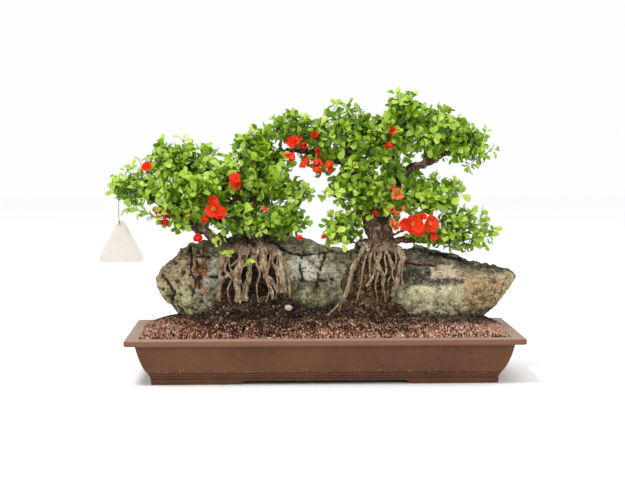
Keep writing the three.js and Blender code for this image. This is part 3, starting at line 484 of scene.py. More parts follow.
@dataclass(frozen=True)
class Stone:
    """Grey-green rock with lichen, rust, moss and dark cracks, and shade painted into its cracks, recesses,
    hollow top and foot.
    """

    grey: tuple = tone(150, 141, 112)
    pale: tuple = tone(208, 200, 168)
    light: tuple = tone(236, 227, 198)
    dark: tuple = tone(32, 26, 18)
    green: tuple = tone(128, 130, 94)
    moss: tuple = tone(92, 94, 38)
    crust: tuple = tone(196, 190, 146)
    # Patches of the face: colour, share, left and right ends, lower and upper ends, in millimetres.
    patches: tuple = (
        (tone(170, 142, 96), 0.75, (-300, -176, 138, 230)),
        (tone(206, 204, 152), 0.9, (-272, -200, 92, 140)),
        (tone(168, 92, 42), 0.85, (-200, -178, 132, 188)),
        (tone(200, 204, 186), 0.85, (-190, -162, 140, 156)),
        (tone(158, 164, 138), 0.8, (-178, -158, 160, 174)),
        (tone(230, 227, 204), 0.95, (-52, -8, 150, 190)),
        (tone(164, 152, 120), 0.65, (-70, 20, 192, 222)),
        (tone(104, 108, 52), 0.8, (-50, 14, 98, 146)),
        (tone(134, 142, 134), 0.85, (96, 172, 180, 196)),
        (tone(242, 216, 188), 0.95, (164, 210, 155, 172)),
        (tone(248, 245, 202), 0.95, (80, 214, 100, 144)),
        (tone(214, 188, 142), 0.8, (206, 320, 96, 172)),
        (tone(196, 138, 64), 0.6, (216, 276, 100, 150)),
        (tone(166, 86, 58), 0.95, (98, 168, 173, 181)),
    )
    # More patches of the same kind, laid over the veins: the dark ones are painted shade, the pale ones
    # lichen.
    shade_and_lichen: tuple = (
        (tone(52, 48, 30), 0.75, (-66, 44, 70, 114)),
        (tone(50, 44, 38), 0.95, (106, 164, 144, 172)),
        (tone(56, 50, 42), 0.85, (166, 218, 144, 154)),
        (tone(60, 56, 44), 0.6, (214, 320, 160, 178)),
        (tone(54, 46, 32), 0.7, (-300, -276, 84, 150)),
        (tone(66, 58, 42), 0.6, (-60, 24, 142, 150)),
        (tone(244, 234, 184), 0.42, (84, 214, 100, 142)),
        (tone(226, 214, 160), 0.36, (-268, -196, 92, 150)),
    )

    @staticmethod
    def patch(along: Level, height: Level, box: tuple, ragged: Level) -> Level:
        """Level that is 1 inside a box of the face and breaks up raggedly at its rim.

        Args:
            along: Place along the rock.
            height: Height on it.
            box: Left and right ends, lower and upper ends.
            ragged: How the rim breaks up.

        Returns:
            The level.
        """
        left, right, low, high = box
        soft = min(12.0, (high - low) / 2)
        zone = along.over(left - soft, left + soft) * along.over(right + soft, right - soft)
        zone = zone * height.over(low - soft, low + soft) * height.over(high + soft, high - soft)
        return (zone * 1.3 + ragged).over(0.4, 1.0) * zone.over(0.0, 0.3)

    def material(self) -> Material:
        """Rock whose colour changes along its face, as weather and growth have left it, with shade painted
        into its hollow top, recesses, cracks and foot.

        Returns:
            The material.
        """
        made = Shader("rock")
        wander = 32 * made.noise(24, 5) - 16
        along = made.axis("X") - TRAY_X + wander
        height = made.axis("Z") + wander * 0.45
        broad, rough = made.noise(28, 5, 0.62), made.noise(7, 5, 0.66)
        fine, speck = made.noise(2.4, 4, 0.7), made.noise(1.2, 3, 0.7)
        crust, blot = made.noise(13, 6, 0.74), made.noise(15, 6, 0.72)
        strata = made.noise(5.5, 5, 0.72, made.stretched((0.22, 1, 1), (0, 0.14, 0)))
        veins = made.cells(24, "DISTANCE_TO_EDGE", made.stretched((0.6, 1, 1), (0, 0.3, 0)))
        # The hollow top of the right part, painted dark as its shadow.
        slope = (along * 0.25 + height).over(222, 234) * along.over(84, 108)
        # Near black broken by moss: painted shade with real moss in it.
        shade_and_moss = made.mix(made.noise(9, 3).over(0.5, 0.66), self.dark, self.moss)
        ragged = crust * 2.2 + rough * 1.6 - 1.9
        # Ragged rims of those later patches, the dark ones of which are painted shade.
        worn = ragged * 1.4
        patches, shade_and_lichen = (
            [(self.patch(along, height, box, rim) * share, colour) for colour, share, box in table]
            for table, rim in ((self.patches, ragged), (self.shade_and_lichen, worn))
        )
        base = made.coats(
            self.grey,
            (broad.over(0.36, 0.64), self.pale),
            (made.noise(44, 4).over(0.5, 0.66) * 0.7, self.green),
            *patches,
            (crust.over(0.54, 0.6) * 0.4, self.light),
            (blot.over(0.46, 0.4) * 0.6, self.dark),
            # Painted shadow in the hollow top of the right part.
            (slope * rough.over(0.7, 0.44) * 0.92, shade_and_moss),
            (made.noise(24, 4).over(0.52, 0.64) * height.over(168, 118) * 0.7, self.moss),
            (crust.over(0.5, 0.56) * height.over(150, 126) * 0.55, self.crust),
            (made.noise(10, 5, 0.7).over(0.45, 0.39) * height.over(160, 120) * 0.75, self.dark),
            # Moss and painted shade along the rock's foot.
            ((height - 30 * blot).over(98, 76) * 0.9, shade_and_moss),
            (strata.over(0.455, 0.405) * (0.5 + 0.3 * height.over(150, 180)), self.dark),
            (strata.over(0.57, 0.68) * 0.4, self.light),
            ((veins + 0.05 * rough).over(0.05, 0.03) * crust.over(0.5, 0.56) * 0.7, self.dark),
            # Dark patches of painted shade, and pale lichen.
            *shade_and_lichen,
            (rough.over(0.45, 0.4) * 0.5, self.dark),
            (fine.over(0.46, 0.4) * 0.5, self.dark),
            (speck.over(0.46, 0.34) * 0.45, self.dark),
            (rough.over(0.56, 0.6) * 0.3, self.light),
            (speck.over(0.54, 0.68) * 0.42, self.light),
            (fine.over(0.58, 0.7) * 0.42, self.light),
            # The cracks, pits and fissures that the relief carves, painted dark as shade.
            (made.attribute("crack").over(0.1, 0.56) * 0.9, self.dark),
        )
        normal = made.bump(rough, 5.0, 0.9, made.bump(fine, 2.2, 0.9, made.bump(speck, 0.9, 0.7)))
        return made.done(base, 0.88, normal)


@dataclass(frozen=True)
class RootSoil:
    """Dark crumbly soil with moss between the roots."""

    name: str = "right_root_soil"
    dark: tuple = tone(24, 18, 14)
    brown: tuple = tone(122, 90, 58)
    moss: tuple = tone(154, 130, 54)
    chunk: tuple = tone(196, 166, 128)

    def material(self) -> Material:
        """Crumbs with mossy patches.

        Returns:
            The material.
        """
        made = Shader(self.name)
        crumb, fine, chunk = made.cells(2.4), made.noise(1.6, 4, 0.7), made.noise(5.5, 5, 0.7)
        right = made.axis("X").over(10, 50)
        patch = made.noise(16, 4).over(0.46, 0.58) * made.axis("Z").over(110, 136)
        base = made.coats(
            self.dark,
            (made.noise(9, 4, 0.65).over(0.45, 0.66), self.brown),
            (patch * (0.35 + 0.65 * right) * 0.85, self.moss),
            (crumb.over(0.3, 0.65) * 0.7, self.dark),
            (chunk.over(0.57, 0.62) * right * 0.75, self.chunk),
            (chunk.over(0.45, 0.4) * 0.8, self.dark),
            (fine.over(0.58, 0.68) * 0.7, self.chunk),
        )
        return made.done(base, 0.96, made.bump(1 - crumb, 1.8, 0.9, made.bump(fine, 1.0, 0.7)))


@dataclass(frozen=True)
class Bark:
    """Brown-grey stems with flaky plates, and paler, smoother tan roots."""

    name: str = "bark"
    dark: tuple = tone(46, 34, 26)
    stem: tuple = tone(92, 72, 54)
    root: tuple = tone(160, 135, 106)
    pale: tuple = tone(208, 190, 164)
    grime: tuple = tone(66, 48, 32)
    moss: tuple = tone(104, 102, 60)

    def material(self) -> Material:
        """Fibres and specks along the limbs, with plates only on the stems.

        Returns:
            The material.
        """
        made = Shader(self.name)
        height = made.axis("Z") + (24 * made.noise(20, 3) - 12)
        lengthwise = made.stretched((1, 1, 0.4))
        stems, low = height.over(190, 216), height.over(230, 120)
        plates = made.cells(7, "DISTANCE_TO_EDGE", lengthwise)
        fibre, speck = made.noise(2.4, 4, 0.68, lengthwise), made.noise(1.1, 3, 0.7)
        base = made.coats(
            self.root,
            (stems, self.stem),
            (made.noise(11, 4, 0.6, lengthwise).over(0.5, 0.66) * 0.6, self.pale),
            (made.noise(8, 4, 0.65).over(0.58, 0.42) * (0.35 + 0.4 * low), self.grime),
            (stems * plates.over(0.12, 0.03) * 0.8, self.dark),
            (fibre.over(0.5, 0.4) * (0.72 + 0.2 * stems), self.dark),
            (fibre.over(0.56, 0.68) * (0.6 - 0.25 * stems), self.pale),
            (speck.over(0.46, 0.34) * 0.7, self.dark),
            (made.noise(26, 3).over(0.54, 0.66) * height.over(176, 120) * 0.5, self.moss),
        )
        normal = made.bump(stems * plates.over(0, 0.2), 1.4, 0.8, made.bump(fibre, 1.5, 0.8))
        return made.done(base, 0.85, normal)


@dataclass(frozen=True)
class Twig:
    """Thin purplish-brown twigs with pale specks."""

    brown: tuple = tone(62, 45, 39)
    green: tuple = tone(96, 92, 48)
    speck: tuple = tone(176, 160, 140)

    def material(self) -> Material:
        """Smooth new bark, greener in places.

        Returns:
            The material.
        """
        made = Shader("twig")
        base = made.mix(made.noise(12, 3).over(0.45, 0.65) * 0.6, self.brown, self.green)
        base = made.mix(made.cells(2.2).over(0.16, 0.08) * 0.5, base, self.speck)
        return made.done(base, 0.6, made.bump(made.noise(1.4, 2), 0.2, 0.5))


@dataclass(frozen=True)
class Leaf:
    """Small glossy leaves, yellow-green as new growth and where light is painted on the outer, higher leaves,
    with paler veins.
    """

    # From the darkest tone to the lightest: inner leaves painted dark as shade, outer and higher ones painted
    # light, mixed with new growth.
    deep: tuple = tone(82, 122, 16)
    fresh: tuple = tone(178, 214, 48)
    young_and_lit: tuple = tone(204, 228, 92)
    vein: tuple = tone(214, 226, 120)
    glow: tuple = tone(172, 218, 52)

    def material(self) -> Material:
        """A tint for each leaf, with a midrib and side veins from the leaf's own UV map.

        Returns:
            The material.
        """
        made = Shader("leaf")
        _, x, y = made.grid()
        across = (x - 0.5).size()
        side = ((y * 9 - across * 7).fraction() - 0.5).size().over(0.1, 0.02)
        veins = across.over(0.05, 0.012).most(side * 0.35)
        base = made.coats(
            # The tint carries painted light and shade as well as each leaf's own tone.
            made.ramp(made.attribute("tint"), ((0.0, self.deep), (0.55, self.fresh), (1.0, self.young_and_lit))),
            (veins * 0.6, self.vein),
            (made.noise(5, 3).over(0.6, 0.75) * 0.25, self.deep),
        )
        normal = made.bump(1 - veins, 0.35, 0.5)
        made.done(base, 0.2 + 0.14 * made.noise(8, 2), normal, Specular_IOR_Level=0.7)
        return made.lit_through(self.glow, 0.34)


@dataclass(frozen=True)
class Petal:
    """Red-orange petals, paler and pinker at their rims in some blooms, and green-brown calyces."""

    red: tuple = tone(238, 38, 12)
    orange: tuple = tone(248, 78, 34)
    faded: tuple = tone(255, 146, 80)
    deep: tuple = tone(196, 22, 10)
    pink: tuple = tone(255, 172, 140)
    calyx: tuple = tone(128, 84, 40)

    def material(self) -> Material:
        """Fine veins from foot to rim, darker at the foot.

        Returns:
            The material.
        """
        made = Shader("petal")
        chart, _, out = made.grid()
        tint = made.attribute("tint")
        lines = made.noise(1 / MM, 2, 0.5, made.stretched((26, 3, 1), place=chart))
        base = made.coats(
            made.ramp(tint, ((0.0, self.red), (0.66, self.orange), (1.0, self.faded))),
            (out.over(0.3, 0.0) * 0.25, self.deep),
            (out.over(0.7, 1.0) * tint.over(0.5, 0.9) * 0.6, self.pink),
            (lines.over(0.54, 0.66) * 0.3, self.deep),
            (tint.over(-0.3, -0.6), self.calyx),
        )
        made.done(base, 0.5, made.bump(lines, 0.35, 0.5))
        return made.lit_through(self.orange, 0.25)


@dataclass(frozen=True)
class Stamen:
    """Yellow filaments with darker pollen heads."""

    pale: tuple = tone(236, 218, 120)
    pollen: tuple = tone(206, 152, 30)
    bright: tuple = tone(250, 236, 160)

    def material(self) -> Material:
        """Pale threads and grainy heads, by a level kept on the mesh.

        Returns:
            The material.
        """
        made = Shader("stamen")
        grain = made.noise(0.8, 2)
        base = made.mix(made.attribute("tint"), self.pale, self.pollen)
        base = made.mix(grain.over(0.4, 0.7) * 0.3, base, self.bright)
        return made.done(base, 0.7, made.bump(grain, 0.3, 0.6))


@dataclass(frozen=True)
class Card:
    """Cream uncoated card."""

    face: tuple = tone(205, 199, 191)
    stain: tuple = tone(190, 180, 166)

    def material(self) -> Material:
        """Paper fibres and faint weathering.

        Returns:
            The material.
        """
        made = Shader("card")
        fibre = made.noise(0.7, 4, 0.7)
        base = made.mix(made.noise(22, 4).over(0.5, 0.8) * 0.5, self.face, self.stain)
        base = made.mix(fibre.over(0.6, 0.75) * 0.15, base, self.stain)
        return made.done(base, 0.75, made.bump(fibre, 0.12, 0.5))


@dataclass(frozen=True)
class Twine:
    """Thin grey twisted thread."""

    grey: tuple = tone(142, 138, 134)
    dark: tuple = tone(88, 84, 80)

    def material(self) -> Material:
        """Twisted strands as slanted bands.

        Returns:
            The material.
        """
        made = Shader("thread")
        slanted = made.stretched((1, 1, 1), (0.0, math.radians(38), 0.0))
        values = {"Vector": slanted, "Scale": 900.0, "Distortion": 1.0}
        bands = Level(made, made.node("ShaderNodeTexWave", {"bands_direction": "Z"}, values).outputs["Fac"])
        return made.done(made.mix(bands, self.dark, self.grey), 0.7, made.bump(bands, 0.2, 0.6))


@dataclass(frozen=True)
class Plastic:
    """Dark moulded plastic of the drain screens."""

    black: tuple = tone(42, 44, 40)
    worn: tuple = tone(70, 70, 64)

    def material(self) -> Material:
        """Satin plastic with a fine moulded grain.

        Returns:
            The material.
        """
        made = Shader("screen")
        grain = made.noise(1.2, 3)
        base = made.mix(grain.over(0.4, 0.7) * 0.4, self.black, self.worn)
        return made.done(base, 0.55, made.bump(grain, 0.15, 0.5))


# Mesh making


def new_piece(name: str, mesh: Mesh, material: Material | None = None) -> Object:
    """Puts a mesh into the scene.

    Args:
        name: The piece's name.
        mesh: Its mesh, in place.
        material: Its material, unless the mesh has one.

    Returns:
        The object, at the origin.
    """
    mesh.name = name
    if material is not None:
        mesh.materials.clear()
        mesh.materials.append(material)
    made = bpy.data.objects.new(name, mesh)
    bpy.context.scene.collection.objects.link(made)
    return made


def edited(mesh: Mesh, work: bmesh.types.BMesh, rounded: bool = True) -> Mesh:
    """Writes edited faces into a mesh, shaded round or flat.

    Args:
        mesh: The mesh to fill.
        work: The faces, freed afterwards.
        rounded: Whether they are shaded round.

    Returns:
        The mesh.
    """
    for face in work.faces:
        face.smooth = rounded
    work.to_mesh(mesh)
    work.free()
    return mesh


def balls(name: str, detail: int, places: Sequence[Matrix], rounded: bool) -> Mesh:
    """One ball of triangles at each of the places.

    Args:
        name: The mesh's name.
        detail: How finely a ball is divided.
        places: Place and half sizes of each.
        rounded: Whether they are shaded round.

    Returns:
        The balls as one mesh.
    """
    work = bmesh.new()
    for place in places:
        bmesh.ops.create_icosphere(work, subdivisions=detail, radius=1, matrix=place)
    return edited(bpy.data.meshes.new(name), work, rounded)


def placed(middle: Vector, half: Sequence[float]) -> Matrix:
    """The place of a ball with its middle in metres and its half sizes in millimetres."""
    return Matrix.LocRotScale(middle, None, Vector(half) * MM)


def declare(piece: Object, slot: str, *nodes: str) -> Object:
    """Rides a piece on the plant's body and hides the nodes that it stands for.

    Args:
        piece: The piece.
        slot: Name of its finish; not used.
        nodes: The nodes.

    Returns:
        The piece.
    """
    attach(piece, "root")
    if nodes:
        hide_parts(*nodes)
    LOG.info("%s: %d faces", piece.name, len(piece.data.polygons) if piece.type == "MESH" else 0)
    return piece


def course(route: Sequence[Sequence[float]], step: float) -> list[Vector]:
    """A smooth curve through points, sampled evenly.

    Args:
        route: Points of the tables.
        step: Distance between samples, in millimetres.

    Returns:
        Samples along a centripetal curve, in metres.
    """
    points = [spot(p) for p in route]
    points = [2 * points[0] - points[1], *points, 2 * points[-1] - points[-2]]
    dense: list[Vector] = []
    for a, b, c, d in zip(points, points[1:], points[2:], points[3:]):
        knots = [0.0]
        for p, q in ((a, b), (b, c), (c, d)):
            knots.append(knots[-1] + max(math.sqrt((q - p).length), 1e-6))
        for i in range(12):
            t = knots[1] + (knots[2] - knots[1]) * i / 12
            level = [a, b, c, d]
            for depth in range(1, 4):
                level = [
                    blend_points(level[k], level[k + 1], *knot_pair(knots, k, depth), t)
                    for k in range(4 - depth)
                ]
            dense.append(level[0])
    dense.append(points[-2].copy())
    return evenly(dense, step * MM)


def knot_pair(knots: list[float], k: int, depth: int) -> tuple[float, float]:
    """The knots between which a level of the curve is blended."""
    return (knots[k], knots[k + depth]) if depth < 3 else (knots[1], knots[2])


def blend_points(p: Vector, q: Vector, start: float, end: float, t: float) -> Vector:
    """The point between two that belongs to t."""
    share = (t - start) / (end - start)
    return p.lerp(q, share) if 0 <= share <= 1 else p * (1 - share) + q * share


def evenly(points: list[Vector], step: float) -> list[Vector]:
    """Points resampled at an even distance along their line.

    Args:
        points: Points of the line.
        step: The distance, in metres.

    Returns:
        The new points.
    """
    lengths = [0.0]
    for p, q in zip(points, points[1:]):
        lengths.append(lengths[-1] + (q - p).length)
    count = max(2, round(lengths[-1] / step) + 1)
    marks = np.linspace(0, lengths[-1], count)
    columns = [np.interp(marks, lengths, [p[axis] for p in points]) for axis in range(3)]
    return [Vector(p) for p in zip(*columns)]


class Skin:
    """Points and faces of a closed mesh while it is made."""

    def __init__(self) -> None:
        """Starts empty."""
        self.points: list[Vector] = []
        self.faces: list[tuple[int, ...]] = []

    def loft(self, rings: list[list[Vector]]) -> None:
        """Joins rings of equally many points into one skin with a fan over each end.

        Args:
            rings: The rings, in order.
        """
        first, count = len(self.points), len(rings[0])
        for ring in rings:
            self.points.extend(ring)
        for r in range(len(rings) - 1):
            for i in range(count):
                a, b = first + r * count + i, first + r * count + (i + 1) % count
                self.faces.append((a, b, b + count, a + count))
        for r, flip in ((0, True), (len(rings) - 1, False)):
            middle = len(self.points)
            self.points.append(sum(rings[r], Vector()) / count)
            for i in range(count):
                a, b = first + r * count + i, first + r * count + (i + 1) % count
                self.faces.append((b, a, middle) if flip else (a, b, middle))

    def tube(
        self, line: list[Vector], radii: Sequence[float], sides: int, rough: float = 0.0, seed: float = 0.0
    ) -> None:
        """Sweeps a rough ring along a line.

        Args:
            line: The line, in metres.
            radii: A radius at each point, in metres.
            sides: Points round a ring.
            rough: Share of the radius by which the ring's points stray.
            seed: Shifts the roughness.
        """
        rings = []
        side = None
        for i, centre in enumerate(line):
            along = (line[min(i + 1, len(line) - 1)] - line[max(i - 1, 0)]).normalized()
            if side is None:
                side = along.orthogonal().normalized()
            side = (side - along * side.dot(along)).normalized()
            other = along.cross(side)
            ring = []
            for k in range(sides):
                angle = 2 * math.pi * k / sides
                wave = noise.noise(Vector((math.cos(angle) * 1.3 + seed, math.sin(angle) * 1.3, i * 0.22)))
                reach = radii[i] * (1 + rough * wave)
                ring.append(centre + (side * math.cos(angle) + other * math.sin(angle)) * reach)
            rings.append(ring)
        self.loft(rings)

    def mesh(self, name: str) -> Mesh:
        """The mesh of all faces so far, turned outwards.

        Args:
            name: The mesh's name.

        Returns:
            The mesh.
        """
        made = bpy.data.meshes.new(name)
        made.from_pydata([tuple(p) for p in self.points], [], self.faces)
        work = bmesh.new()
        work.from_mesh(made)
        bmesh.ops.recalc_face_normals(work, faces=work.faces)
        return edited(made, work)


def skin_of(piece: Object) -> BVHTree:
    """A search tree of a piece's faces."""
    points = [v.co.copy() for v in piece.data.vertices]
    return BVHTree.FromPolygons(points, [tuple(p.vertices) for p in piece.data.polygons])


class Net:
    """Points and edges of a network of thin tubes while it is made, with a radius at each point."""

    def __init__(self) -> None:
        """Starts empty."""
        self.points: list[Vector] = []
        self.edges: list[tuple[int, int]] = []
        self.radii: list[float] = []

    def step(self, point: Vector, radius: float, joined: bool) -> None:
        """Adds a point, joined to the one before unless it starts a tube.

        Args:
            point: The point, in metres.
            radius: The tube's radius there, in metres.
            joined: Whether it carries on a tube.
        """
        self.points.append(point)
        self.radii.append(radius)
        if joined:
            self.edges.append((len(self.points) - 2, len(self.points) - 1))

    def tubes(self, sides: int, finish: Material) -> Mesh:
        """The smooth mesh of its tubes, with so many sides.

        Args:
            sides: Sides of each tube.
            finish: Their material.

        Returns:
            The mesh.
        """
        net = bpy.data.meshes.new("net")
        net.from_pydata([tuple(p) for p in self.points], self.edges, [])
        set_level(net, "thick", self.radii)
        mesh = tubes_recipe().make("tubes", net, {"Sides": sides, "Finish": finish})
        mesh.shade_smooth()
        return mesh


def refinish(node: str, material: Material) -> Object:
    """Gives a node that stays in sight its material.

    Args:
        node: The node's name.
        material: The material.

    Returns:
        The node's object.
    """
    made = frame["nodes"][node]
    made.data.materials.clear()
    made.data.materials.append(material)
    return made


def finished(piece: Object) -> Mesh:
    """A plain mesh of an object with its modifiers done; the object is removed.

    Args:
        piece: The object.

    Returns:
        The mesh.
    """
    depsgraph = bpy.context.evaluated_depsgraph_get()
    mesh = bpy.data.meshes.new_from_object(
        piece.evaluated_get(depsgraph), preserve_all_data_layers=True, depsgraph=depsgraph
    )
    bpy.data.objects.remove(piece)
    return mesh


def displaced(mesh: Mesh, height: Callable[[Vector], float]) -> None:
    """Moves each point of a mesh along its normal by a height in millimetres.

    Args:
        mesh: The mesh.
        height: Gives the height at a point in millimetres.
    """
    count = len(mesh.vertices)
    places, normals = np.empty(count * 3), np.empty(count * 3)
    mesh.vertices.foreach_get("co", places)
    mesh.vertex_normals.foreach_get("vector", normals)
    places, normals = places.reshape(-1, 3), normals.reshape(-1, 3)
    moves = np.array([height(Vector(p) / MM) for p in places])
    mesh.vertices.foreach_set("co", (places + normals * moves[:, None] * MM).ravel())
    mesh.update()


def set_level(mesh: Mesh, name: str, values: Sequence[float]) -> None:
    """Keeps a number on each point of a mesh."""
    layer = mesh.attributes.new(name, "FLOAT", "POINT")
    layer.data.foreach_set("value", np.asarray(values, dtype=np.float32))


# Geometry Nodes


class Dial(Enum):
    """Kinds of input that a recipe has."""

    NUMBER = "NodeSocketFloat"
    WHOLE = "NodeSocketInt"
    SHAPES = "NodeSocketCollection"
    FINISH = "NodeSocketMaterial"


class Draw(Enum):
    """Kinds of random value, in the order of their node's inputs."""

    VECTOR = "FLOAT_VECTOR"
    NUMBER = "FLOAT"
    WHOLE = "INT"


class Recipe:
    """A Geometry Nodes tree with named inputs, whose result becomes a plain mesh."""

    def __init__(self, name: str, dials: dict[str, Dial]) -> None:
        """Starts a tree with its inputs.

        Args:
            name: The tree's name.
            dials: Kind of each input, by its name.
        """
        self.tree = bpy.data.node_groups.new(name, "GeometryNodeTree")
        add = self.tree.interface.new_socket
        add("Geometry", in_out="INPUT", socket_type="NodeSocketGeometry")
        add("Geometry", in_out="OUTPUT", socket_type="NodeSocketGeometry")
        self.ids = {}
        for dial, kind in dials.items():
            self.ids[dial] = add(dial, in_out="INPUT", socket_type=kind.value).identifier
        self.source = self.node("NodeGroupInput")
        self.result = self.node("NodeGroupOutput")

    def node(self, kind: str, settings: dict | None = None, values: dict | None = None) -> Node:
        """Adds a node with its settings, then the values or sockets of its inputs.

        Args:
            kind: The node's type.
            settings: Its own settings.
            values: Values or sockets for its inputs.

        Returns:
            The node.
        """
        made = self.tree.nodes.new(kind)
        for name, value in (settings or {}).items():
            setattr(made, name, value)
        for key, value in (values or {}).items():
            if isinstance(value, NodeSocket):
                self.tree.links.new(value, made.inputs[key])
            else:
                made.inputs[key].default_value = value
        return made

    def kept(self, name: str, kind: str) -> NodeSocket:
        """A named attribute of the geometry."""
        node = self.node("GeometryNodeInputNamedAttribute", {"data_type": kind}, {"Name": name})
        return node.outputs["Attribute"]

    def drawn(self, kind: Draw, low: object, high: object, seed: int) -> NodeSocket:
        """A random value between two ends.

        Args:
            kind: Kind of value.
            low: Its lower end.
            high: Its upper end.
            seed: The seed.

        Returns:
            The value.
        """
        place = list(Draw).index(kind)
        values = {2 * place: low, 2 * place + 1: high, "Seed": seed}
        return self.node("FunctionNodeRandomValue", {"data_type": kind.value}, values).outputs[place]

    def copied(self, points: NodeSocket, kind: NodeSocket, turn: NodeSocket, size: NodeSocket) -> None:
        """Ends the tree with copies of the shapes.

        Args:
            points: The points to copy them to.
            kind: Which of the shapes each copy is.
            turn: How it is turned.
            size: Its size.
        """
        values = {"Collection": self.source.outputs["Shapes"]}
        values.update({"Separate Children": True, "Reset Children": True})
        shapes = self.node("GeometryNodeCollectionInfo", None, values)
        values = {
            "Points": points,
            "Instance": shapes.outputs[0],
            "Pick Instance": True,
            "Instance Index": kind,
            "Rotation": turn,
            "Scale": size,
        }
        self.ends_with(self.node("GeometryNodeInstanceOnPoints", None, values).outputs[0])

    def ends_with(self, geometry: NodeSocket) -> None:
        """Makes copies real, gives them the finish and ends the tree.

        Args:
            geometry: What the tree has made.
        """
        real = self.node("GeometryNodeRealizeInstances", None, {"Geometry": geometry})
        values = {"Geometry": real.outputs[0], "Material": self.source.outputs["Finish"]}
        dressed = self.node("GeometryNodeSetMaterial", None, values)
        self.tree.links.new(dressed.outputs[0], self.result.inputs[0])

    def make(self, name: str, base: Mesh, settings: dict[str, object]) -> Mesh:
        """Runs the tree on a mesh.

        Args:
            name: The new mesh's name.
            base: The mesh that the tree reads.
            settings: A value for each input, by its name.

        Returns:
            The plain mesh.
        """
        holder = new_piece(name + "_base", base)
        modifier = holder.modifiers.new("recipe", "NODES")
        modifier.node_group = self.tree
        for dial, value in settings.items():
            modifier[self.ids[dial]] = value
        mesh = finished(holder)
        mesh.name = name
        return mesh


def copies_recipe() -> Recipe:
    """Copies of small shapes on points that keep each copy's turn, size and kind.

    Returns:
        The tree, with inputs for the shapes and their finish.
    """
    made = Recipe("copies", {"Shapes": Dial.SHAPES, "Finish": Dial.FINISH})
    kind, turn = made.kept("kind", "INT"), made.kept("turn", "QUATERNION")
    made.copied(made.source.outputs["Geometry"], kind, turn, made.kept("size", "FLOAT_VECTOR"))
    return made


def tubes_recipe() -> Recipe:
    """Round tubes along the edges of a network that keeps a radius at each point.

    Returns:
        The tree, with inputs for the tubes' sides and their finish.
    """
    made = Recipe("tubes", {"Sides": Dial.WHOLE, "Finish": Dial.FINISH})
    curve = made.node("GeometryNodeMeshToCurve", None, {"Mesh": made.source.outputs["Geometry"]})
    values = {"Resolution": made.source.outputs["Sides"], "Radius": 1.0}
    ring = made.node("GeometryNodeCurvePrimitiveCircle", None, values)
    values = {
        "Curve": curve.outputs[0],
        "Profile Curve": ring.outputs[0],
        "Scale": made.kept("thick", "FLOAT"),
        "Fill Caps": True,
    }
    made.ends_with(made.node("GeometryNodeCurveToMesh", None, values).outputs[0])
    return made


def grains_recipe(kinds: int) -> Recipe:
    """Grains of so many kinds, strewn over a bed that keeps where it is open and where it is damp.

    Args:
        kinds: How many shapes of grain there are.

    Returns:
        The tree, with inputs for the grains' spacing, sizes, seed, shapes and finish.
    """
    numbers = dict.fromkeys(("Spacing", "Density", "Smallest", "Largest"), Dial.NUMBER)
    made = Recipe("grains", {**numbers, "Seed": Dial.WHOLE, "Shapes": Dial.SHAPES, "Finish": Dial.FINISH})
    given = made.source.outputs
    values = {
        "Mesh": given["Geometry"],
        "Distance Min": given["Spacing"],
        "Density Max": given["Density"],
        "Density Factor": made.kept("open", "FLOAT"),
        "Seed": given["Seed"],
    }
    strewn = made.node("GeometryNodeDistributePointsOnFaces", {"distribute_method": "POISSON"}, values)
    tint = made.drawn(Draw.NUMBER, 0.0, 1.0, 7)
    values = {"Geometry": strewn.outputs["Points"], "Name": "tint", "Value": tint}
    tinted = made.node("GeometryNodeStoreNamedAttribute", {"data_type": "FLOAT"}, values)
    kind = made.drawn(Draw.WHOLE, 0, kinds - 1, 9)
    turn = made.drawn(Draw.VECTOR, (0.0, 0.0, 0.0), (2 * math.pi,) * 3, 3)
    size = made.drawn(Draw.NUMBER, given["Smallest"], given["Largest"], 5)
    made.copied(tinted.outputs[0], kind, turn, size)
    return made


def shelf(name: str, meshes: Sequence[Mesh]) -> Collection:
    """A collection of shapes to copy, kept out of the scene.

    Args:
        name: The collection's name.
        meshes: The shapes.

    Returns:
        The collection.
    """
    made = bpy.data.collections.new(name)
    for i, mesh in enumerate(meshes):
        made.objects.link(bpy.data.objects.new(f"{name}_{i}", mesh))
    return made


@dataclass
class Copy:
    """One copy of a shape: where it is, how it is turned, its size, its kind and its tint."""

    place: Vector
    turn: Quaternion
    size: Triple
    kind: int = 0
    tint: float = 0.5


def cloud(name: str, copies: list[Copy]) -> Mesh:
    """Points that keep what each copy needs.

    Args:
        name: The mesh's name.
        copies: The copies.

    Returns:
        A mesh of loose points.
    """
    mesh = bpy.data.meshes.new(name)
    mesh.from_pydata([tuple(c.place) for c in copies], [], [])
    turns = mesh.attributes.new("turn", "QUATERNION", "POINT")
    turns.data.foreach_set("value", np.array([tuple(c.turn) for c in copies], dtype=np.float32).ravel())
    sizes = mesh.attributes.new("size", "FLOAT_VECTOR", "POINT")
    sizes.data.foreach_set("vector", np.array([c.size for c in copies], dtype=np.float32).ravel())
    kinds = mesh.attributes.new("kind", "INT", "POINT")
    kinds.data.foreach_set("value", [c.kind for c in copies])
    set_level(mesh, "tint", [c.tint for c in copies])
    return mesh


def turned(along: Vector, up: Vector) -> Quaternion:
    """The turn that takes +Y to along, and +Z as near as it can to up.

    Args:
        along: Where +Y goes.
        up: Where +Z goes as nearly as it can.

    Returns:
        The turn.
    """
    along = along.normalized()
    side = along.cross(up)
    side = side.normalized() if side.length > 1e-6 else along.orthogonal().normalized()
    return Matrix((side, along, side.cross(along))).transposed().to_quaternion()


# Tray


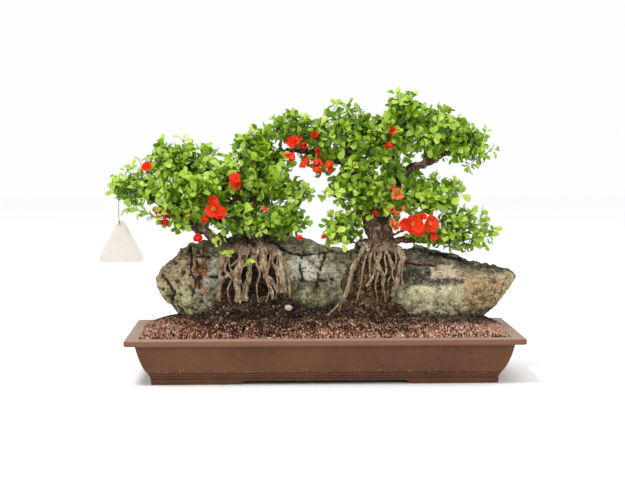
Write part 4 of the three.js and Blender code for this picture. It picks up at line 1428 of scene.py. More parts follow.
@dataclass
class Tray:
    """The footed clay tray, in millimetres."""

    length: float = 600
    depth: float = 255
    height: float = 72
    rim: float = 21
    floor: float = 16
    foot_ring: float = 12
    foot_recess: float = 6
    front_gap: float = 268
    side_gap: float = 78
    gap_height: float = 5.5
    gap_end: float = 9
    drain: float = 11
    drain_spacing: float = 170
    wobble: float = 0.35
    corner: float = 6
    # An edge that turns by more degrees than this is sharp.
    sharp: float = 38
    # Stretches along a long side and along a short one.
    side_steps: tuple[int, int] = (56, 24)
    # Corners of the section, from the foot round the rim to the floor: inset, height and rounding.
    outside: list[Triple] = field(
        default_factory=lambda: [
            (37.7, 0, 1.2), (36.6, 8.2, 0.6), (38, 9.2, 0.4), (36.2, 10.2, 0.6), (35.6, 12.4, 0.8),
            (36.4, 13.2, 0.4), (34.2, 14.4, 0.8), (33, 16.8, 0.5), (34.3, 17.7, 0.3), (31.6, 18.8, 0.9),
            (26, 27.5, 5), (20.5, 41, 8), (17, 53, 6), (15.4, 60, 1.5), (12.8, 62, 1.2), (0, 63, 2.4),
            (0, 72, 3.2), (21, 72, 2), (22, 60, 3), (30, 50, 6), (41, 16, 3),
        ]
    )

    def profile(self) -> list[tuple[float, float]]:
        """The section's corners rounded by their own radii, as insets and heights.

        Returns:
            An inset and a height for each point, in millimetres.
        """
        corners = self.outside
        line = [corners[0][:2]]
        for before, here, after in zip(corners, corners[1:], corners[2:]):
            p, q, r = (Vector(c[:2]) for c in (before, here, after))
            cut = min(here[2], (p - q).length * 0.45, (r - q).length * 0.45)
            start, end = q + (p - q).normalized() * cut, q + (r - q).normalized() * cut
            for i in range(5):
                t = i / 4
                line.append(tuple(start * (1 - t) ** 2 + q * (2 * t * (1 - t)) + end * t**2))
        line.append(corners[-1][:2])
        return line

    def ring(self, inset: float, z: float, wobble: bool = True) -> list[Vector]:
        """A level ring at an inset from the rim's edge, with points along its sides.

        Args:
            inset: How far inside the rim's edge.
            z: Height.
            wobble: Whether it is a little uneven.

        Returns:
            Its points, in metres.
        """
        half = (self.length / 2 - inset, self.depth / 2 - inset)
        radius = max(self.corner - inset * 0.08, 3)
        arcs = []
        for corner, signs in enumerate(((1, 1), (-1, 1), (-1, -1), (1, -1))):
            middle = Vector([sign * (reach - radius) for sign, reach in zip(signs, half)])
            turns = [(corner + i / 5) * math.pi / 2 for i in range(6)]
            arcs.append([middle + radius * Vector((math.cos(a), math.sin(a))) for a in turns])
        points = []
        for arc, after, steps in zip(arcs, arcs[1:] + arcs[:1], self.side_steps * 2):
            points.extend(arc)
            points.extend(arc[-1].lerp(after[0], i / steps) for i in range(1, steps))
        made = []
        for p in points:
            shift = self.wobble * noise.noise(Vector((p.x / 55, p.y / 55, z / 40))) if wobble else 0
            outward = Vector((p.x / half[0], p.y / half[1])).normalized()
            flat = p + outward * shift
            lift = self.wobble * noise.noise(Vector((p.x / 80, p.y / 80, 7))) * (z / self.height)
            made.append(spot((flat.x, flat.y, z + lift * 0.8)))
        return made

    def gap(self, length: float, through: float, along_y: bool) -> Object:
        """A bar that cuts the gap between two feet, with round upper ends.

        Args:
            length: Length of the gap.
            through: Length of the bar.
            along_y: Whether the bar lies along Y.

        Returns:
            The bar.
        """
        half = length / 2
        outline = [(-half - 2, -3), (-half, -0.4)]
        for i in range(1, 9):
            t = i / 8
            outline.append((-half + 1.6 * self.gap_end * t, self.gap_height * t * t * (3 - 2 * t)))
        outline += [(-x, z) for x, z in reversed(outline)]
        rings = []
        for end in (-through / 2, through / 2):
            rings.append([spot((x, end, z) if along_y else (end, -x, z)) for x, z in outline])
        return self.cutter(rings)

    @staticmethod
    def cutter(rings: list[list[Vector]]) -> Object:
        """A solid between rings that cuts the tray.

        Args:
            rings: The rings, in order.

        Returns:
            The solid.
        """
        skin = Skin()
        skin.loft(rings)
        return new_piece("cutter", skin.mesh("cutter"))

    def cutters(self) -> list[Object]:
        """The recess between the feet, the gaps between them and the drain holes.

        Returns:
            The cutters.
        """
        inset = self.outside[0][0] + self.foot_ring
        made = [self.cutter([self.ring(inset, z, False) for z in (-1.0, self.foot_recess)])]
        made.append(self.gap(self.front_gap, self.depth, True))
        made.append(self.gap(self.side_gap, self.length, False))
        turns = [2 * math.pi * i / 40 for i in range(40)]
        for place in (-1, 0, 1):
            x = place * self.drain_spacing
            made.append(self.cutter([
                [spot((x + self.drain * math.cos(a), self.drain * math.sin(a), z)) for a in turns]
                for z in (-2, 30)
            ]))
        return made

    def build(self) -> Object:
        """Fired tray with its feet and drain holes cut.

        Returns:
            The tray.
        """
        skin = Skin()
        skin.loft([self.ring(inset, z) for inset, z in self.profile()])
        raw = new_piece("tray_raw", skin.mesh("tray_raw"))
        cutters = self.cutters()
        for cutter in cutters:
            cut = raw.modifiers.new("cut", "BOOLEAN")
            cut.operation, cut.solver, cut.object = "DIFFERENCE", "EXACT", cutter
        mesh = finished(raw)
        for cutter in cutters:
            bpy.data.objects.remove(cutter)
        work = bmesh.new()
        work.from_mesh(mesh)
        for edge in work.edges:
            edge.smooth = edge.calc_face_angle(0) < math.radians(self.sharp)
        edited(mesh, work)
        return declare(new_piece("tray", mesh, Clay().material()), "clay", "pot")


# Rock


@dataclass
class Rock:
    """The long rock: sections along X with place, top, underside, middle and half depth."""

    sections: list = field(
        default_factory=lambda: [
            (-262, 152, 142, 14, 5), (-254, 164, 128, 14, 24), (-240, 178, 112, 14, 37),
            (-224, 195, 96, 14, 43), (-203, 205, 80, 14, 47), (-175, 211, 70, 15, 46),
            (-145, 212, 66, 18, 43), (-90, 214, 66, 20, 42), (-67, 213, 66, 19, 45), (-40, 211, 66, 18, 48),
            (-15, 207, 66, 17, 49), (32, 195, 66, 20, 44), (88, 191, 66, 20, 46), (132, 195, 66, 15, 54),
            (147, 201, 68, 14, 56), (178, 190, 72, 14, 55), (204, 186, 75, 14, 52), (228, 177, 79, 13, 48),
            (249, 172, 88, 12, 43), (270, 167, 108, 12, 36), (288, 163, 130, 12, 26),
            (299, 158, 143, 12, 14), (304, 154, 149, 12, 4),
        ]
    )
    # Cracks and ledges of the front: places along the rock and heights.
    cracks: list = field(
        default_factory=lambda: [
            [(-84, 210), (-58, 195), (-33, 189), (-9, 190), (18, 198), (34, 194)],
            [(-33, 189), (-37, 172), (-32, 153)],
            [(-88, 159), (-47, 154), (-9, 150), (16, 153)],
            [(4, 190), (-4, 170), (-9, 150), (-13, 132)],
            [(92, 189), (106, 184), (132, 177), (172, 174)],
            [(168, 190), (202, 183), (241, 176), (284, 166)],
            [(-194, 157), (-176, 159), (-158, 155)],
            [(-208, 204), (-203, 186), (-206, 168), (-196, 150), (-202, 128)],
            [(-252, 160), (-240, 150), (-232, 132), (-236, 112)],
        ]
    )
    # Depths and sizes of the bumps, large to small.
    roughness: tuple = ((4.6, 30), (4.0, 13), (2.6, 6.5), (1.3, 3.4))
    crack_width: float = 1.8
    crack_depth: float = 5.5
    squareness: float = 2.7
    lean: float = 16
    full_size: float = 40
    stations: int = 230
    sides: int = 132
    block: float = 60
    # The face is pitted and folded left of this.
    pit_end: float = -160
    end_fade: float = 22
    # Without a seed, noise_vector takes its shifts from the clock.
    seed: int = 1

    def surface(self) -> Skin:
        """The plain rock from its sections.

        Returns:
            The rock's skin.
        """
        table = np.array(self.sections, dtype=float)
        ends = np.linspace(0, 1, self.stations)
        places = table[0, 0] + (table[-1, 0] - table[0, 0]) * (0.5 - 0.5 * np.cos(ends * math.pi)) * 0.35
        places += (table[-1, 0] - table[0, 0]) * ends * 0.65
        power = 2 / self.squareness
        rings = []
        for x in places:
            top, low, middle, half = (float(np.interp(x, table[:, 0], table[:, k])) for k in (1, 2, 3, 4))
            height = (top - low) / 2
            size = min(half / self.full_size, height / self.full_size, 1)
            ring = []
            for k in range(self.sides):
                angle = 2 * math.pi * k / self.sides
                c, s = math.cos(angle), math.sin(angle)
                up, side = (math.copysign(abs(v) ** power, v) for v in (s, c))
                lean = self.lean * size * (up * up if up > 0 else 0)
                y = middle + half * side + lean * (1 - c) * 0.5
                ring.append(spot((x, y, (top + low) / 2 + height * up)))
            rings.append(ring)
        skin = Skin()
        skin.loft(rings)
        return skin

    def crack_gaps(self, points: np.ndarray) -> np.ndarray:
        """Distance of each point from the nearest crack of the front, in millimetres.

        Args:
            points: The points, in millimetres.

        Returns:
            The distances.
        """
        places = points[:, (0, 2)] - (TRAY_X, 0)
        gaps = np.full(len(points), 1e3)
        for line in self.cracks:
            for start, end in zip(np.array(line, float), np.array(line[1:], float)):
                way = end - start
                share = np.clip((places - start) @ way / (way @ way), 0, 1)
                gaps = np.minimum(gaps, np.hypot(*(places - start - share[:, None] * way).T))
        return np.where(points[:, 1] < 14, gaps, 1e3)

    def relief(self, p: Vector, gap: float) -> tuple[float, float]:
        """Height of the rock's relief at a point and how cracked it is there.

        Args:
            p: The point, in millimetres.
            gap: Distance from the nearest crack.

        Returns:
            Height in millimetres, and a share of crack from 0 to 1.
        """
        bent = p + 12 * noise.noise_vector(p / 34)
        near, cells = noise.voronoi(Vector((bent.x * 0.6, bent.y, bent.z * 1.3)) / self.block)
        behind = smooth(p.y, 0, 26)
        split = (1 - smooth(near[1] - near[0], 0.0, 0.07)) * (0.15 + 0.6 * behind)
        wide = self.crack_width * (1 + 0.7 * noise.noise(p / 9))
        crack = max(1 - smooth(gap + 1.4 * noise.noise(p / 4), 0, wide * 1.7), split)
        step = 3.2 * noise.noise(cells[0] * 3.7)
        rough = sum(depth * noise.noise(p / size) for depth, size in self.roughness)
        fissure = max(0.0, 1 - abs(noise.noise(Vector((p.x, p.y, p.z * 1.6)) / 24)) * 13)
        fissure *= smooth(noise.noise(p / 40), -0.25, 0.1)
        left = smooth(-p.x, -self.pit_end - 30, -self.pit_end + 30)
        pit = smooth(noise.noise(p / 7), 0.12, 0.42) * left
        folds = left * (2.6 * noise.ridged_multi_fractal(p / 22, 0.9, 2.1, 3, 1.0, 2.0) - 2.4)
        height = step + rough + folds - self.crack_depth * crack - 2.4 * pit - 2.0 * fissure - 0.8
        return height, min(1.0, 0.9 * crack**1.3 + 0.55 * pit + 0.5 * fissure)

    def build(self) -> Object:
        """Weathered rock with ledges, cracks and pits.

        Returns:
            The rock.
        """
        noise.seed_set(self.seed)
        mesh = self.surface().mesh("rock_skin")
        marks: list[float] = []
        gaps = iter(self.crack_gaps(np.array([v.co for v in mesh.vertices]) / MM))
        left, right = self.sections[0][0], self.sections[-1][0]

        def height(p: Vector) -> float:
            """Relief at a point, weaker towards the rock's ends.

            Args:
                p: The point, in millimetres.

            Returns:
                The relief, in millimetres.
            """
            lift, crack = self.relief(p, next(gaps))
            marks.append(crack)
            ends = smooth(p.x - TRAY_X, left, left + self.end_fade)
            ends *= smooth(right - p.x + TRAY_X, 0, self.end_fade)
            return lift * (0.35 + 0.65 * ends)

        displaced(mesh, height)
        # How cracked each point is, which the finish paints dark as shade in the cracks and pits.
        set_level(mesh, "crack", marks)
        return declare(new_piece("weathered_rock", mesh, Stone().material()), "rock", "rock")


# Gravel


@dataclass
class Bed:
    """The mound of gravel that fills the tray, in millimetres."""

    tray: Tray
    edge: float = 67
    mound: float = 32
    reach: tuple[float, float] = (292, 108)
    fall: tuple[float, float] = (7, 1.9)
    spacing: float = 2.9
    grain: tuple[float, float] = (1.3, 3.0)
    kinds: int = 5
    solid: BVHTree | None = None
    recipe: Recipe | None = None
    shapes: Collection | None = None
    finish: Material | None = None
    cell: float = 4.0
    # Gap between the bed and the tray's wall.
    clear: float = 2.4
    # Ground darkened by humus in front of each plant: middles and half sizes.
    humus: tuple = ((-98, -58, 108, 38), (78, -58, 92, 31), (264, -101, 14, 9))

    def level(self, x: float, y: float) -> float:
        """Height of the gravel at a place.

        Args:
            x, y: The place.

        Returns:
            The height, in millimetres.
        """
        along = max(1 - abs(x / self.reach[0]) ** self.fall[0], 0)
        across = max(1 - abs(y / self.reach[1]) ** self.fall[1], 0)
        return self.edge + self.mound * along * across

    @staticmethod
    def grain_shape(kind: int) -> Mesh:
        """An angular grain.

        Args:
            kind: Which of the shapes it is.

        Returns:
            The grain, about 1 in radius.
        """
        draw = random.Random(500 + kind)
        mesh = balls(f"grain_{kind}", 1, [Matrix()], False)
        stretch = Vector((1.15, draw.uniform(0.7, 0.95), draw.uniform(0.6, 0.85)))
        for vert in mesh.vertices:
            vert.co = vert.co * draw.uniform(0.82, 1.15) * stretch
        mesh.update()
        return mesh

    def prepare(self, solid: BVHTree) -> None:
        """Makes the grain shapes and their finish, and keeps the rock's skin.

        Args:
            solid: The rock's skin.
        """
        self.solid, self.recipe = solid, grains_recipe(self.kinds)
        self.shapes = shelf("grain_shapes", [self.grain_shape(kind) for kind in range(self.kinds)])
        self.finish = Gravel().material()

    def strewn(self, name: str, base: Mesh, spacing: float, grain: tuple, seed: int) -> Mesh:
        """Grains over a mesh that keeps where it is open and how damp it is.

        Args:
            name: The new mesh's name.
            base: The mesh that they lie on.
            spacing: Least distance between them, in millimetres.
            grain: Smallest and largest radius, in millimetres.
            seed: Seed of their places.

        Returns:
            The grains.
        """
        settings = {
            "Spacing": spacing * MM,
            "Density": 4e5,
            "Smallest": grain[0] * MM,
            "Largest": grain[1] * MM,
            "Seed": seed,
            "Shapes": self.shapes,
            "Finish": self.finish,
        }
        return self.recipe.make(name, base, settings)

    def dampness(self, place: Vector, x: float, y: float) -> float:
        """How dark with humus the ground is at a place, from 0 to 1.

        Args:
            place: The place, in metres.
            x, y: The same place in the tables.

        Returns:
            The share of humus.
        """
        nearest = self.solid.find_nearest(place + UP * 0.012)[3] or 1.0
        share = smooth(nearest / MM + 20 * noise.noise(Vector((x / 24, y / 24, 3))), 34, 12)
        for middle_x, middle_y, half_x, half_y in self.humus:
            out = math.hypot((x - middle_x) / half_x, (y - middle_y) / half_y)
            share = max(share, smooth(out + 0.5 * noise.noise(Vector((x / 13, y / 13, 7))), 1.15, 0.7))
        return share

    def build(self) -> Object:
        """Grains over the bed, none of them inside the rock.

        Returns:
            The grains.
        """
        half = [size / 2 - self.tray.rim - self.clear for size in (self.tray.length, self.tray.depth)]
        counts = [round(2 * h / self.cell) for h in half]
        points, faces, free, damp = [], [], [], []
        for j in range(counts[1] + 1):
            for i in range(counts[0] + 1):
                x = -half[0] + 2 * half[0] * i / counts[0]
                y = -half[1] + 2 * half[1] * j / counts[1]
                z = self.level(x, y) + 0.9 * noise.noise(Vector((x / 14, y / 14, 0)))
                place = spot((x, y, z + 0.4))
                points.append(tuple(place))
                free.append(0.0 if self.buried(place) else 1.0)
                damp.append(self.dampness(place, x, y))
        across = counts[0] + 1
        for j in range(counts[1]):
            for a in range(j * across, j * across + counts[0]):
                faces.append((a, a + 1, a + 1 + across, a + across))
        bed = bpy.data.meshes.new("bed")
        bed.from_pydata(points, [], faces)
        set_level(bed, "open", free)
        set_level(bed, "damp", damp)
        refinish("soil", Grit().material())
        grains = self.strewn("gravel_grains", bed, self.spacing, self.grain, 4)
        return declare(new_piece("gravel_grains", grains), "gravel")

    def buried(self, place: Vector) -> bool:
        """Whether a place lies inside the rock.

        Args:
            place: The place, in metres.

        Returns:
            Whether it does.
        """
        inside, start = False, place.copy()
        for _ in range(12):
            hit = self.solid.ray_cast(start, UP)[0]
            if hit is None:
                break
            inside, start = not inside, hit + UP * 1e-5
        return inside


# Root soil

# Middles and half sizes of the lumps behind each plant's roots.
LUMPS = {
    Side.LEFT: [
        ((-112, -25, 147), (55, 20, 57)), ((-104, -44, 100), (84, 32, 31)), ((-104, -44, 84), (124, 46, 22)),
    ],
    Side.RIGHT: [
        ((70, -31, 144), (42, 24, 50)), ((70, -44, 98), (64, 30, 28)), ((74, -44, 84), (104, 44, 21)),
    ],
}


@dataclass
class RootBall:
    """Mossy soil between one plant's roots and the rock."""

    side: Side
    lumps: list
    seed: int
    finish: RootSoil
    bare_above: float = 168
    gravel_below: tuple[float, float] = (97, 82)
    crumb_spacing: float = 2.7
    crumb: tuple[float, float] = (0.9, 2.8)
    rootlets: int = 46
    stride: float = 4.0

    def build(self, bed: Bed) -> Object:
        """Crumbly lumps that run into one another, strewn with crumbs and grains.

        Args:
            bed: The gravel, whose grains lie on the lower parts.

        Returns:
            The lumps.
        """
        mesh = balls("root_ball", 5, [placed(spot(centre), half) for centre, half in self.lumps], True)
        shift = Vector((self.seed * 17, 0, 0))

        def height(p: Vector) -> float:
            """Lumps and crumbs at a point."""
            lumpy = 9.0 * noise.noise((p + shift) / 26) + 5.5 * noise.noise((p + shift) / 11)
            return lumpy + 2.6 * noise.noise(p / 5) + 1.0 * noise.noise(p / 2.6) - 2.5

        displaced(mesh, height)
        name = f"{self.side}_root_soil"
        ball = declare(new_piece(f"{self.side}_root_ball", mesh, self.finish.material()), "root_soil", name)
        free, damp = [], []
        for vert in mesh.vertices:
            p = vert.co / MM - TRAY_MIDDLE
            hidden = p.z < bed.level(p.x, p.y) - 2 or p.y > 4 or self.inside_other(p) or bed.buried(vert.co)
            thin = 0.45 if p.z > self.bare_above else 1.0
            free.append(0.0 if hidden else thin)
            damp.append(smooth(p.z + 12 * noise.noise(p / 14), self.gravel_below[1], self.gravel_below[0]))
        base = mesh.copy()
        set_level(base, "open", free)
        set_level(base, "damp", damp)
        crumbs = bed.strewn(f"{self.side}_crumbs", base, self.crumb_spacing, self.crumb, self.seed)
        declare(new_piece(f"{self.side}_crumbs", crumbs), "root_soil")
        return ball

    @staticmethod
    def stone(ball: Object, place: Triple, size: float, finish: Material) -> Object:
        """A pale stone that lies on the soil.

        Args:
            ball: The lumps.
            place: Where it lies, in millimetres.
            size: Its radius.
            finish: The material of the gravel.

        Returns:
            The stone.
        """
        middle = skin_of(ball).find_nearest(spot(place))[0]
        mesh = balls("pale_stone", 3, [placed(middle, Vector((1.1, 0.9, 0.8)) * size)], False)
        displaced(mesh, lambda p: 1.6 * noise.noise(p / 5) + 0.5 * noise.noise(p / 1.8))
        set_level(mesh, "tint", [0.95] * len(mesh.vertices))
        set_level(mesh, "damp", [0.0] * len(mesh.vertices))
        return declare(new_piece("pale_stone", mesh, finish), "root_soil")

    def inside_other(self, p: Vector) -> bool:
        """Whether a point of the tables lies well inside one of the lumps.

        Args:
            p: The point.

        Returns:
            Whether it does.
        """
        return any(
            sum(((a - c) / (h * 0.88)) ** 2 for a, c, h in zip(p, centre, half)) < 1
            for centre, half in self.lumps
        )

    def threads(self, ball: Object, bark: Material) -> Object:
        """Fine roots that creep down over the soil.

        Args:
            ball: The lumps.
            bark: The material of the roots.

        Returns:
            The fine roots.
        """
        skin, draw, net = skin_of(ball), random.Random(self.seed), Net()
        (cx, cy, cz), (hx, hy, hz) = self.lumps[0]
        for _ in range(self.rootlets):
            angle = math.radians(draw.uniform(-170, -10))
            start = (cx + hx * math.cos(angle), cy + hy * math.sin(angle), cz + hz * draw.uniform(-0.2, 0.75))
            way = Vector((draw.gauss(0, 0.55), -0.1, draw.uniform(-1.2, -0.3))).normalized()
            place = spot(start)
            thick, count = draw.uniform(0.45, 1.15), draw.randint(5, 15)
            for k in range(count):
                hit, normal = skin.find_nearest(place + way * self.stride * MM)[:2]
                place = hit + normal * draw.uniform(0.3, 1.3) * MM
                net.step(place, thick * (1 - 0.7 * k / count) * MM, k > 0)
                way = (way + stray(draw, 0.28) - UP * 0.12).normalized()
        return declare(new_piece(f"{self.side}_rootlets", net.tubes(5, bark)), "bark")


# Wood

# Each limb is a route and the radii at its ends.
LEFT_LIMBS = [
    ([(-124, -26, 190), (-127, -20, 207), (-133, -12, 225), (-129, -5, 244), (-131, 0, 268), (-138, 5, 290),
      ], 10.5, 6),
    ([(-138, 5, 290), (-160, 6, 308), (-190, 4, 322), (-222, 4, 338)], 6, 2.2),
    ([(-93, -46, 166), (-93, -42, 181), (-95, -35, 199), (-101, -25, 217), (-107, -15, 234),
      (-110, -8, 254)], 7.8, 7),
    ([(-110, -8, 254), (-106, -6, 276), (-102, -4, 296), (-100, -4, 318)], 6.4, 2.4),
    ([(-146, -28, 192), (-158, -31, 204), (-170, -31, 218), (-184, -30, 228), (-200, -28, 235),
      (-216, -25, 244)], 9, 6.8),
    ([(-216, -25, 244), (-234, -24, 257), (-255, -20, 272), (-276, -13, 284), (-298, -9, 290),
      (-319, -5, 292)], 6.8, 1.5),
    ([(-200, -28, 235), (-201, -30, 258), (-204, -31, 284)], 5, 2),
    ([(-131, 0, 262), (-150, 16, 274), (-172, 28, 283), (-194, 37, 291)], 5.4, 2.2),
    ([(-129, -6, 232), (-146, 12, 236), (-166, 28, 242), (-184, 40, 249)], 4.8, 2),
    ([(-110, -8, 250), (-111, 16, 262), (-110, 34, 272), (-110, 50, 280)], 4.8, 2),
    ([(-103, -5, 288), (-88, -3, 290), (-72, -1, 289), (-52, 0, 288)], 3.8, 1.5),
    ([(-99, -28, 212), (-90, -22, 224), (-76, -15, 233), (-60, -10, 240)], 4.4, 1.8),
    ([(-133, -12, 225), (-112, -18, 222), (-100, -24, 214)], 5.5, 6),
    ([(-150, -24, 202), (-138, -26, 199), (-122, -31, 198), (-106, -35, 198), (-92, -37, 196)], 7.6, 6.6),
    ([(-107, -8, 282), (-116, -18, 290), (-127, -28, 297)], 2.6, 1.5),
    ([(-184, -30, 228), (-178, -42, 242), (-172, -52, 258)], 3, 1.7),
    ([(-105, -18, 232), (-97, -29, 245), (-91, -38, 255)], 2.4, 1.4),
    ([(-76, -15, 233), (-60, -24, 224), (-46, -30, 218)], 2.4, 1.3),
    ([(-275, -13, 284), (-274, -19, 300), (-270, -26, 316)], 2.3, 1.3),
    ([(-131, -6, 246), (-135, -16, 249), (-136, -26, 250)], 3, 1.6),
    ([(-92, -38, 194), (-82, -40, 202), (-72, -42, 200), (-67, -45, 190), (-65, -49, 172), (-61, -54, 152),
      (-60, -58, 128)], 6.4, 2.6),
    ([(-66, -45, 188), (-58, -48, 176), (-54, -52, 160), (-53, -55, 140), (-52, -58, 126)], 2.8, 2),
    ([(-76, -42, 194), (-80, -44, 182), (-72, -49, 170), (-67, -54, 152), (-66, -58, 134)], 4, 2.4),
    ([(-124, -36, 194), (-128, -47, 178), (-133, -55, 162), (-132, -60, 146), (-131, -63, 122)], 6.6, 5.4),
    ([(-108, -40, 190), (-113, -48, 172), (-116, -54, 154), (-119, -58, 141), (-121, -61, 122)], 4.6, 4),
    ([(-152, -32, 196), (-155, -40, 184), (-158, -44, 171), (-157, -46, 152)], 5.6, 3.6),
    ([(-128, -48, 176), (-138, -48, 168), (-148, -51, 161), (-156, -54, 154), (-160, -57, 143),
      (-160, -59, 122)], 3.8, 3.2),
    ([(-93, -47, 170), (-86, -53, 158), (-78, -57, 150), (-69, -60, 136)], 4.4, 2.6),
    ([(-93, -48, 168), (-88, -56, 152), (-82, -60, 142), (-78, -63, 126)], 3.8, 2.4),
    ([(-143, -34, 194), (-148, -46, 183), (-152, -52, 171), (-145, -57, 162), (-137, -60, 154)], 2.4, 1.9),
    ([(-112, -38, 198), (-120, -48, 196), (-132, -50, 184), (-142, -52, 176)], 2, 1.6),
    ([(-112, -40, 206), (-118, -50, 188), (-115, -56, 166), (-122, -60, 146), (-126, -64, 122)], 1.9, 1.1),
    ([(-98, -40, 206), (-104, -51, 184), (-98, -57, 164), (-103, -62, 146), (-100, -66, 120)], 1.8, 1.0),
    ([(-142, -32, 202), (-145, -47, 180), (-140, -54, 160), (-147, -58, 140), (-144, -62, 120)], 1.7, 1.0),
    ([(-80, -42, 200), (-84, -53, 176), (-88, -60, 158), (-84, -64, 140), (-90, -68, 118)], 1.6, 0.9),
    ([(-70, -45, 190), (-73, -54, 168), (-71, -60, 150), (-74, -65, 126)], 1.5, 0.9),
    ([(-130, -36, 200), (-124, -51, 178), (-128, -59, 158), (-123, -63, 140), (-129, -68, 118)], 1.5, 0.9),
    ([(-150, -24, 200), (-156, 2, 214), (-160, 34, 214), (-162, 58, 196), (-168, 67, 172), (-161, 71, 146),
      (-169, 73, 118), (-164, 76, 84)], 7, 3),
    ([(-120, -28, 198), (-124, 4, 216), (-122, 40, 216), (-120, 62, 196), (-113, 69, 172), (-120, 71, 146),
      (-112, 74, 116), (-116, 76, 84)], 6.4, 2.8),
    ([(-94, -36, 196), (-86, -6, 217), (-80, 34, 217), (-76, 62, 200), (-80, 70, 176), (-71, 73, 150),
      (-77, 76, 118), (-71, 78, 84)], 6, 2.6),
    ([(-122, 40, 216), (-134, 58, 202), (-140, 67, 176), (-135, 71, 150), (-141, 75, 116)], 2.2, 1.1),
    ([(-80, 34, 217), (-92, 58, 202), (-96, 68, 176), (-91, 72, 148), (-97, 76, 112)], 2, 1),
    ([(-160, 34, 214), (-152, 58, 200), (-148, 68, 174), (-153, 72, 146), (-148, 76, 110)], 1.7, 0.9),
]
RIGHT_LIMBS = [
    ([(88, -24, 192), (84, -19, 212), (75, -9, 238), (66, -2, 264), (55, 3, 289), (44, 5, 314),
      (35, 5, 332)], 16.5, 7.6),
    ([(98, -22, 196), (97, -12, 222), (95, 0, 246), (102, 9, 273), (113, 10, 295), (120, 8, 312)], 12.5, 9.2),
    ([(35, 5, 332), (20, 3, 338), (-1, 0, 345), (-23, 0, 348), (-45, 0, 352), (-69, 2, 347), (-92, 1, 347),
      (-112, 0, 356)], 7.2, 2),
    ([(120, 8, 312), (137, 3, 322), (159, -3, 330), (180, -6, 339), (201, -5, 350), (226, 0, 358)], 8.8, 2.2),
    ([(120, 8, 312), (114, 6, 336), (120, 4, 359), (127, 3, 383), (129, 3, 412)], 7, 2),
    ([(116, 7, 322), (104, 7, 338), (99, 4, 360)], 5.6, 2.6),
    ([(159, -3, 330), (166, -6, 350), (172, -8, 378)], 5, 2),
    ([(35, 5, 330), (37, 4, 352), (42, 2, 386)], 5.2, 2),
    ([(38, 5, 338), (58, 3, 356), (76, 2, 380), (94, 2, 402)], 3.2, 1.5),
    ([(-23, 0, 348), (-36, 0, 364), (-44, 0, 382)], 3.8, 1.7),
    ([(66, -2, 264), (48, -11, 248), (36, -14, 236)], 4.4, 1.7),
    ([(98, 3, 258), (118, 5, 265), (142, 2, 270), (168, -5, 279)], 5.2, 1.9),
    ([(96, 2, 254), (104, 20, 266), (112, 34, 276), (120, 48, 284)], 4.8, 1.9),
    ([(115, 7, 330), (111, 24, 348), (110, 38, 362), (110, 50, 374)], 4.8, 1.9),
    ([(104, -14, 208), (122, -16, 212), (142, -18, 212), (162, -18, 209), (184, -14, 208), (206, -10, 214),
      ], 5.6, 2.2),
    ([(80, -24, 208), (62, -28, 207), (40, -29, 210), (21, -28, 212), (8, -28, 216)], 4, 1.2),
    ([(98, -14, 216), (112, -22, 222), (124, -30, 229), (134, -37, 235)], 3.6, 1.9),
    ([(124, -30, 229), (142, -30, 228), (156, -34, 232)], 2.4, 1.6),
    ([(102, 6, 270), (106, -8, 275), (110, -20, 279)], 2.8, 1.5),
    ([(97, -4, 246), (102, -16, 252), (106, -26, 257)], 2.8, 1.5),
    ([(115, 5, 345), (109, -12, 352), (104, -26, 357)], 2.6, 1.4),
    ([(49, 3, 302), (48, -10, 312), (47, -20, 320)], 2.6, 1.4),
    ([(-30, 0, 349), (-35, -10, 354), (-41, -19, 357)], 2.6, 1.4),
    ([(2, 0, 344), (-2, -10, 345), (-6, -16, 343)], 2.8, 1.6),
    ([(-72, 2, 347), (-75, 3, 341), (-77, 4, 334)], 2.4, 1.4),
    ([(76, -26, 210), (62, -36, 200), (52, -44, 184), (43, -52, 170), (38, -56, 150), (33, -60, 128),
      ], 5, 2.4),
    ([(80, -30, 202), (72, -42, 188), (70, -52, 166), (72, -56, 152)], 3.8, 2),
    ([(84, -32, 202), (86, -46, 190), (82, -54, 176), (90, -60, 160), (88, -62, 132)], 5, 2.2),
    ([(100, -28, 204), (112, -36, 198), (122, -42, 188), (116, -48, 176), (113, -52, 162), (108, -56, 142),
      (104, -58, 128)], 7.2, 3),
    ([(92, -34, 200), (100, -46, 188), (105, -53, 170), (98, -58, 152), (96, -60, 128)], 3.2, 2),
    ([(88, -32, 200), (80, -48, 180), (76, -56, 162), (64, -60, 144)], 2.8, 1.8),
    ([(80, -30, 210), (78, -46, 188), (83, -55, 168), (78, -60, 148), (81, -66, 122)], 1.9, 1.0),
    ([(97, -32, 208), (93, -49, 186), (95, -57, 170), (90, -62, 150), (93, -68, 122)], 1.7, 1.0),
    ([(106, -33, 204), (111, -49, 184), (104, -56, 166), (109, -62, 144)], 1.6, 0.9),
    ([(72, -32, 204), (64, -46, 188), (59, -54, 170), (56, -60, 150), (49, -66, 122)], 1.8, 1.0),
    ([(114, -41, 196), (121, -49, 178), (118, -56, 160), (123, -60, 142)], 1.4, 0.9),
    ([(44, -51, 172), (36, -58, 136), (22, -64, 118), (4, -68, 101)], 2.2, 1.6),
    ([(40, -54, 158), (30, -62, 130), (22, -68, 108)], 2, 1.6),
    ([(76, -14, 204), (66, 16, 206), (58, 48, 200), (55, 66, 174), (48, 69, 150), (55, 71, 120),
      (50, 74, 84)], 7, 2.8),
    ([(96, -12, 206), (100, 20, 206), (104, 52, 200), (105, 67, 172), (112, 71, 148), (104, 75, 118),
      (111, 78, 84)], 7.4, 3),
    ([(66, 16, 206), (72, 46, 204), (78, 62, 182), (72, 68, 150), (79, 73, 114)], 2.1, 1.1),
    ([(104, 52, 200), (94, 60, 188), (91, 68, 160), (96, 72, 136), (90, 76, 108)], 1.8, 0.9),
]


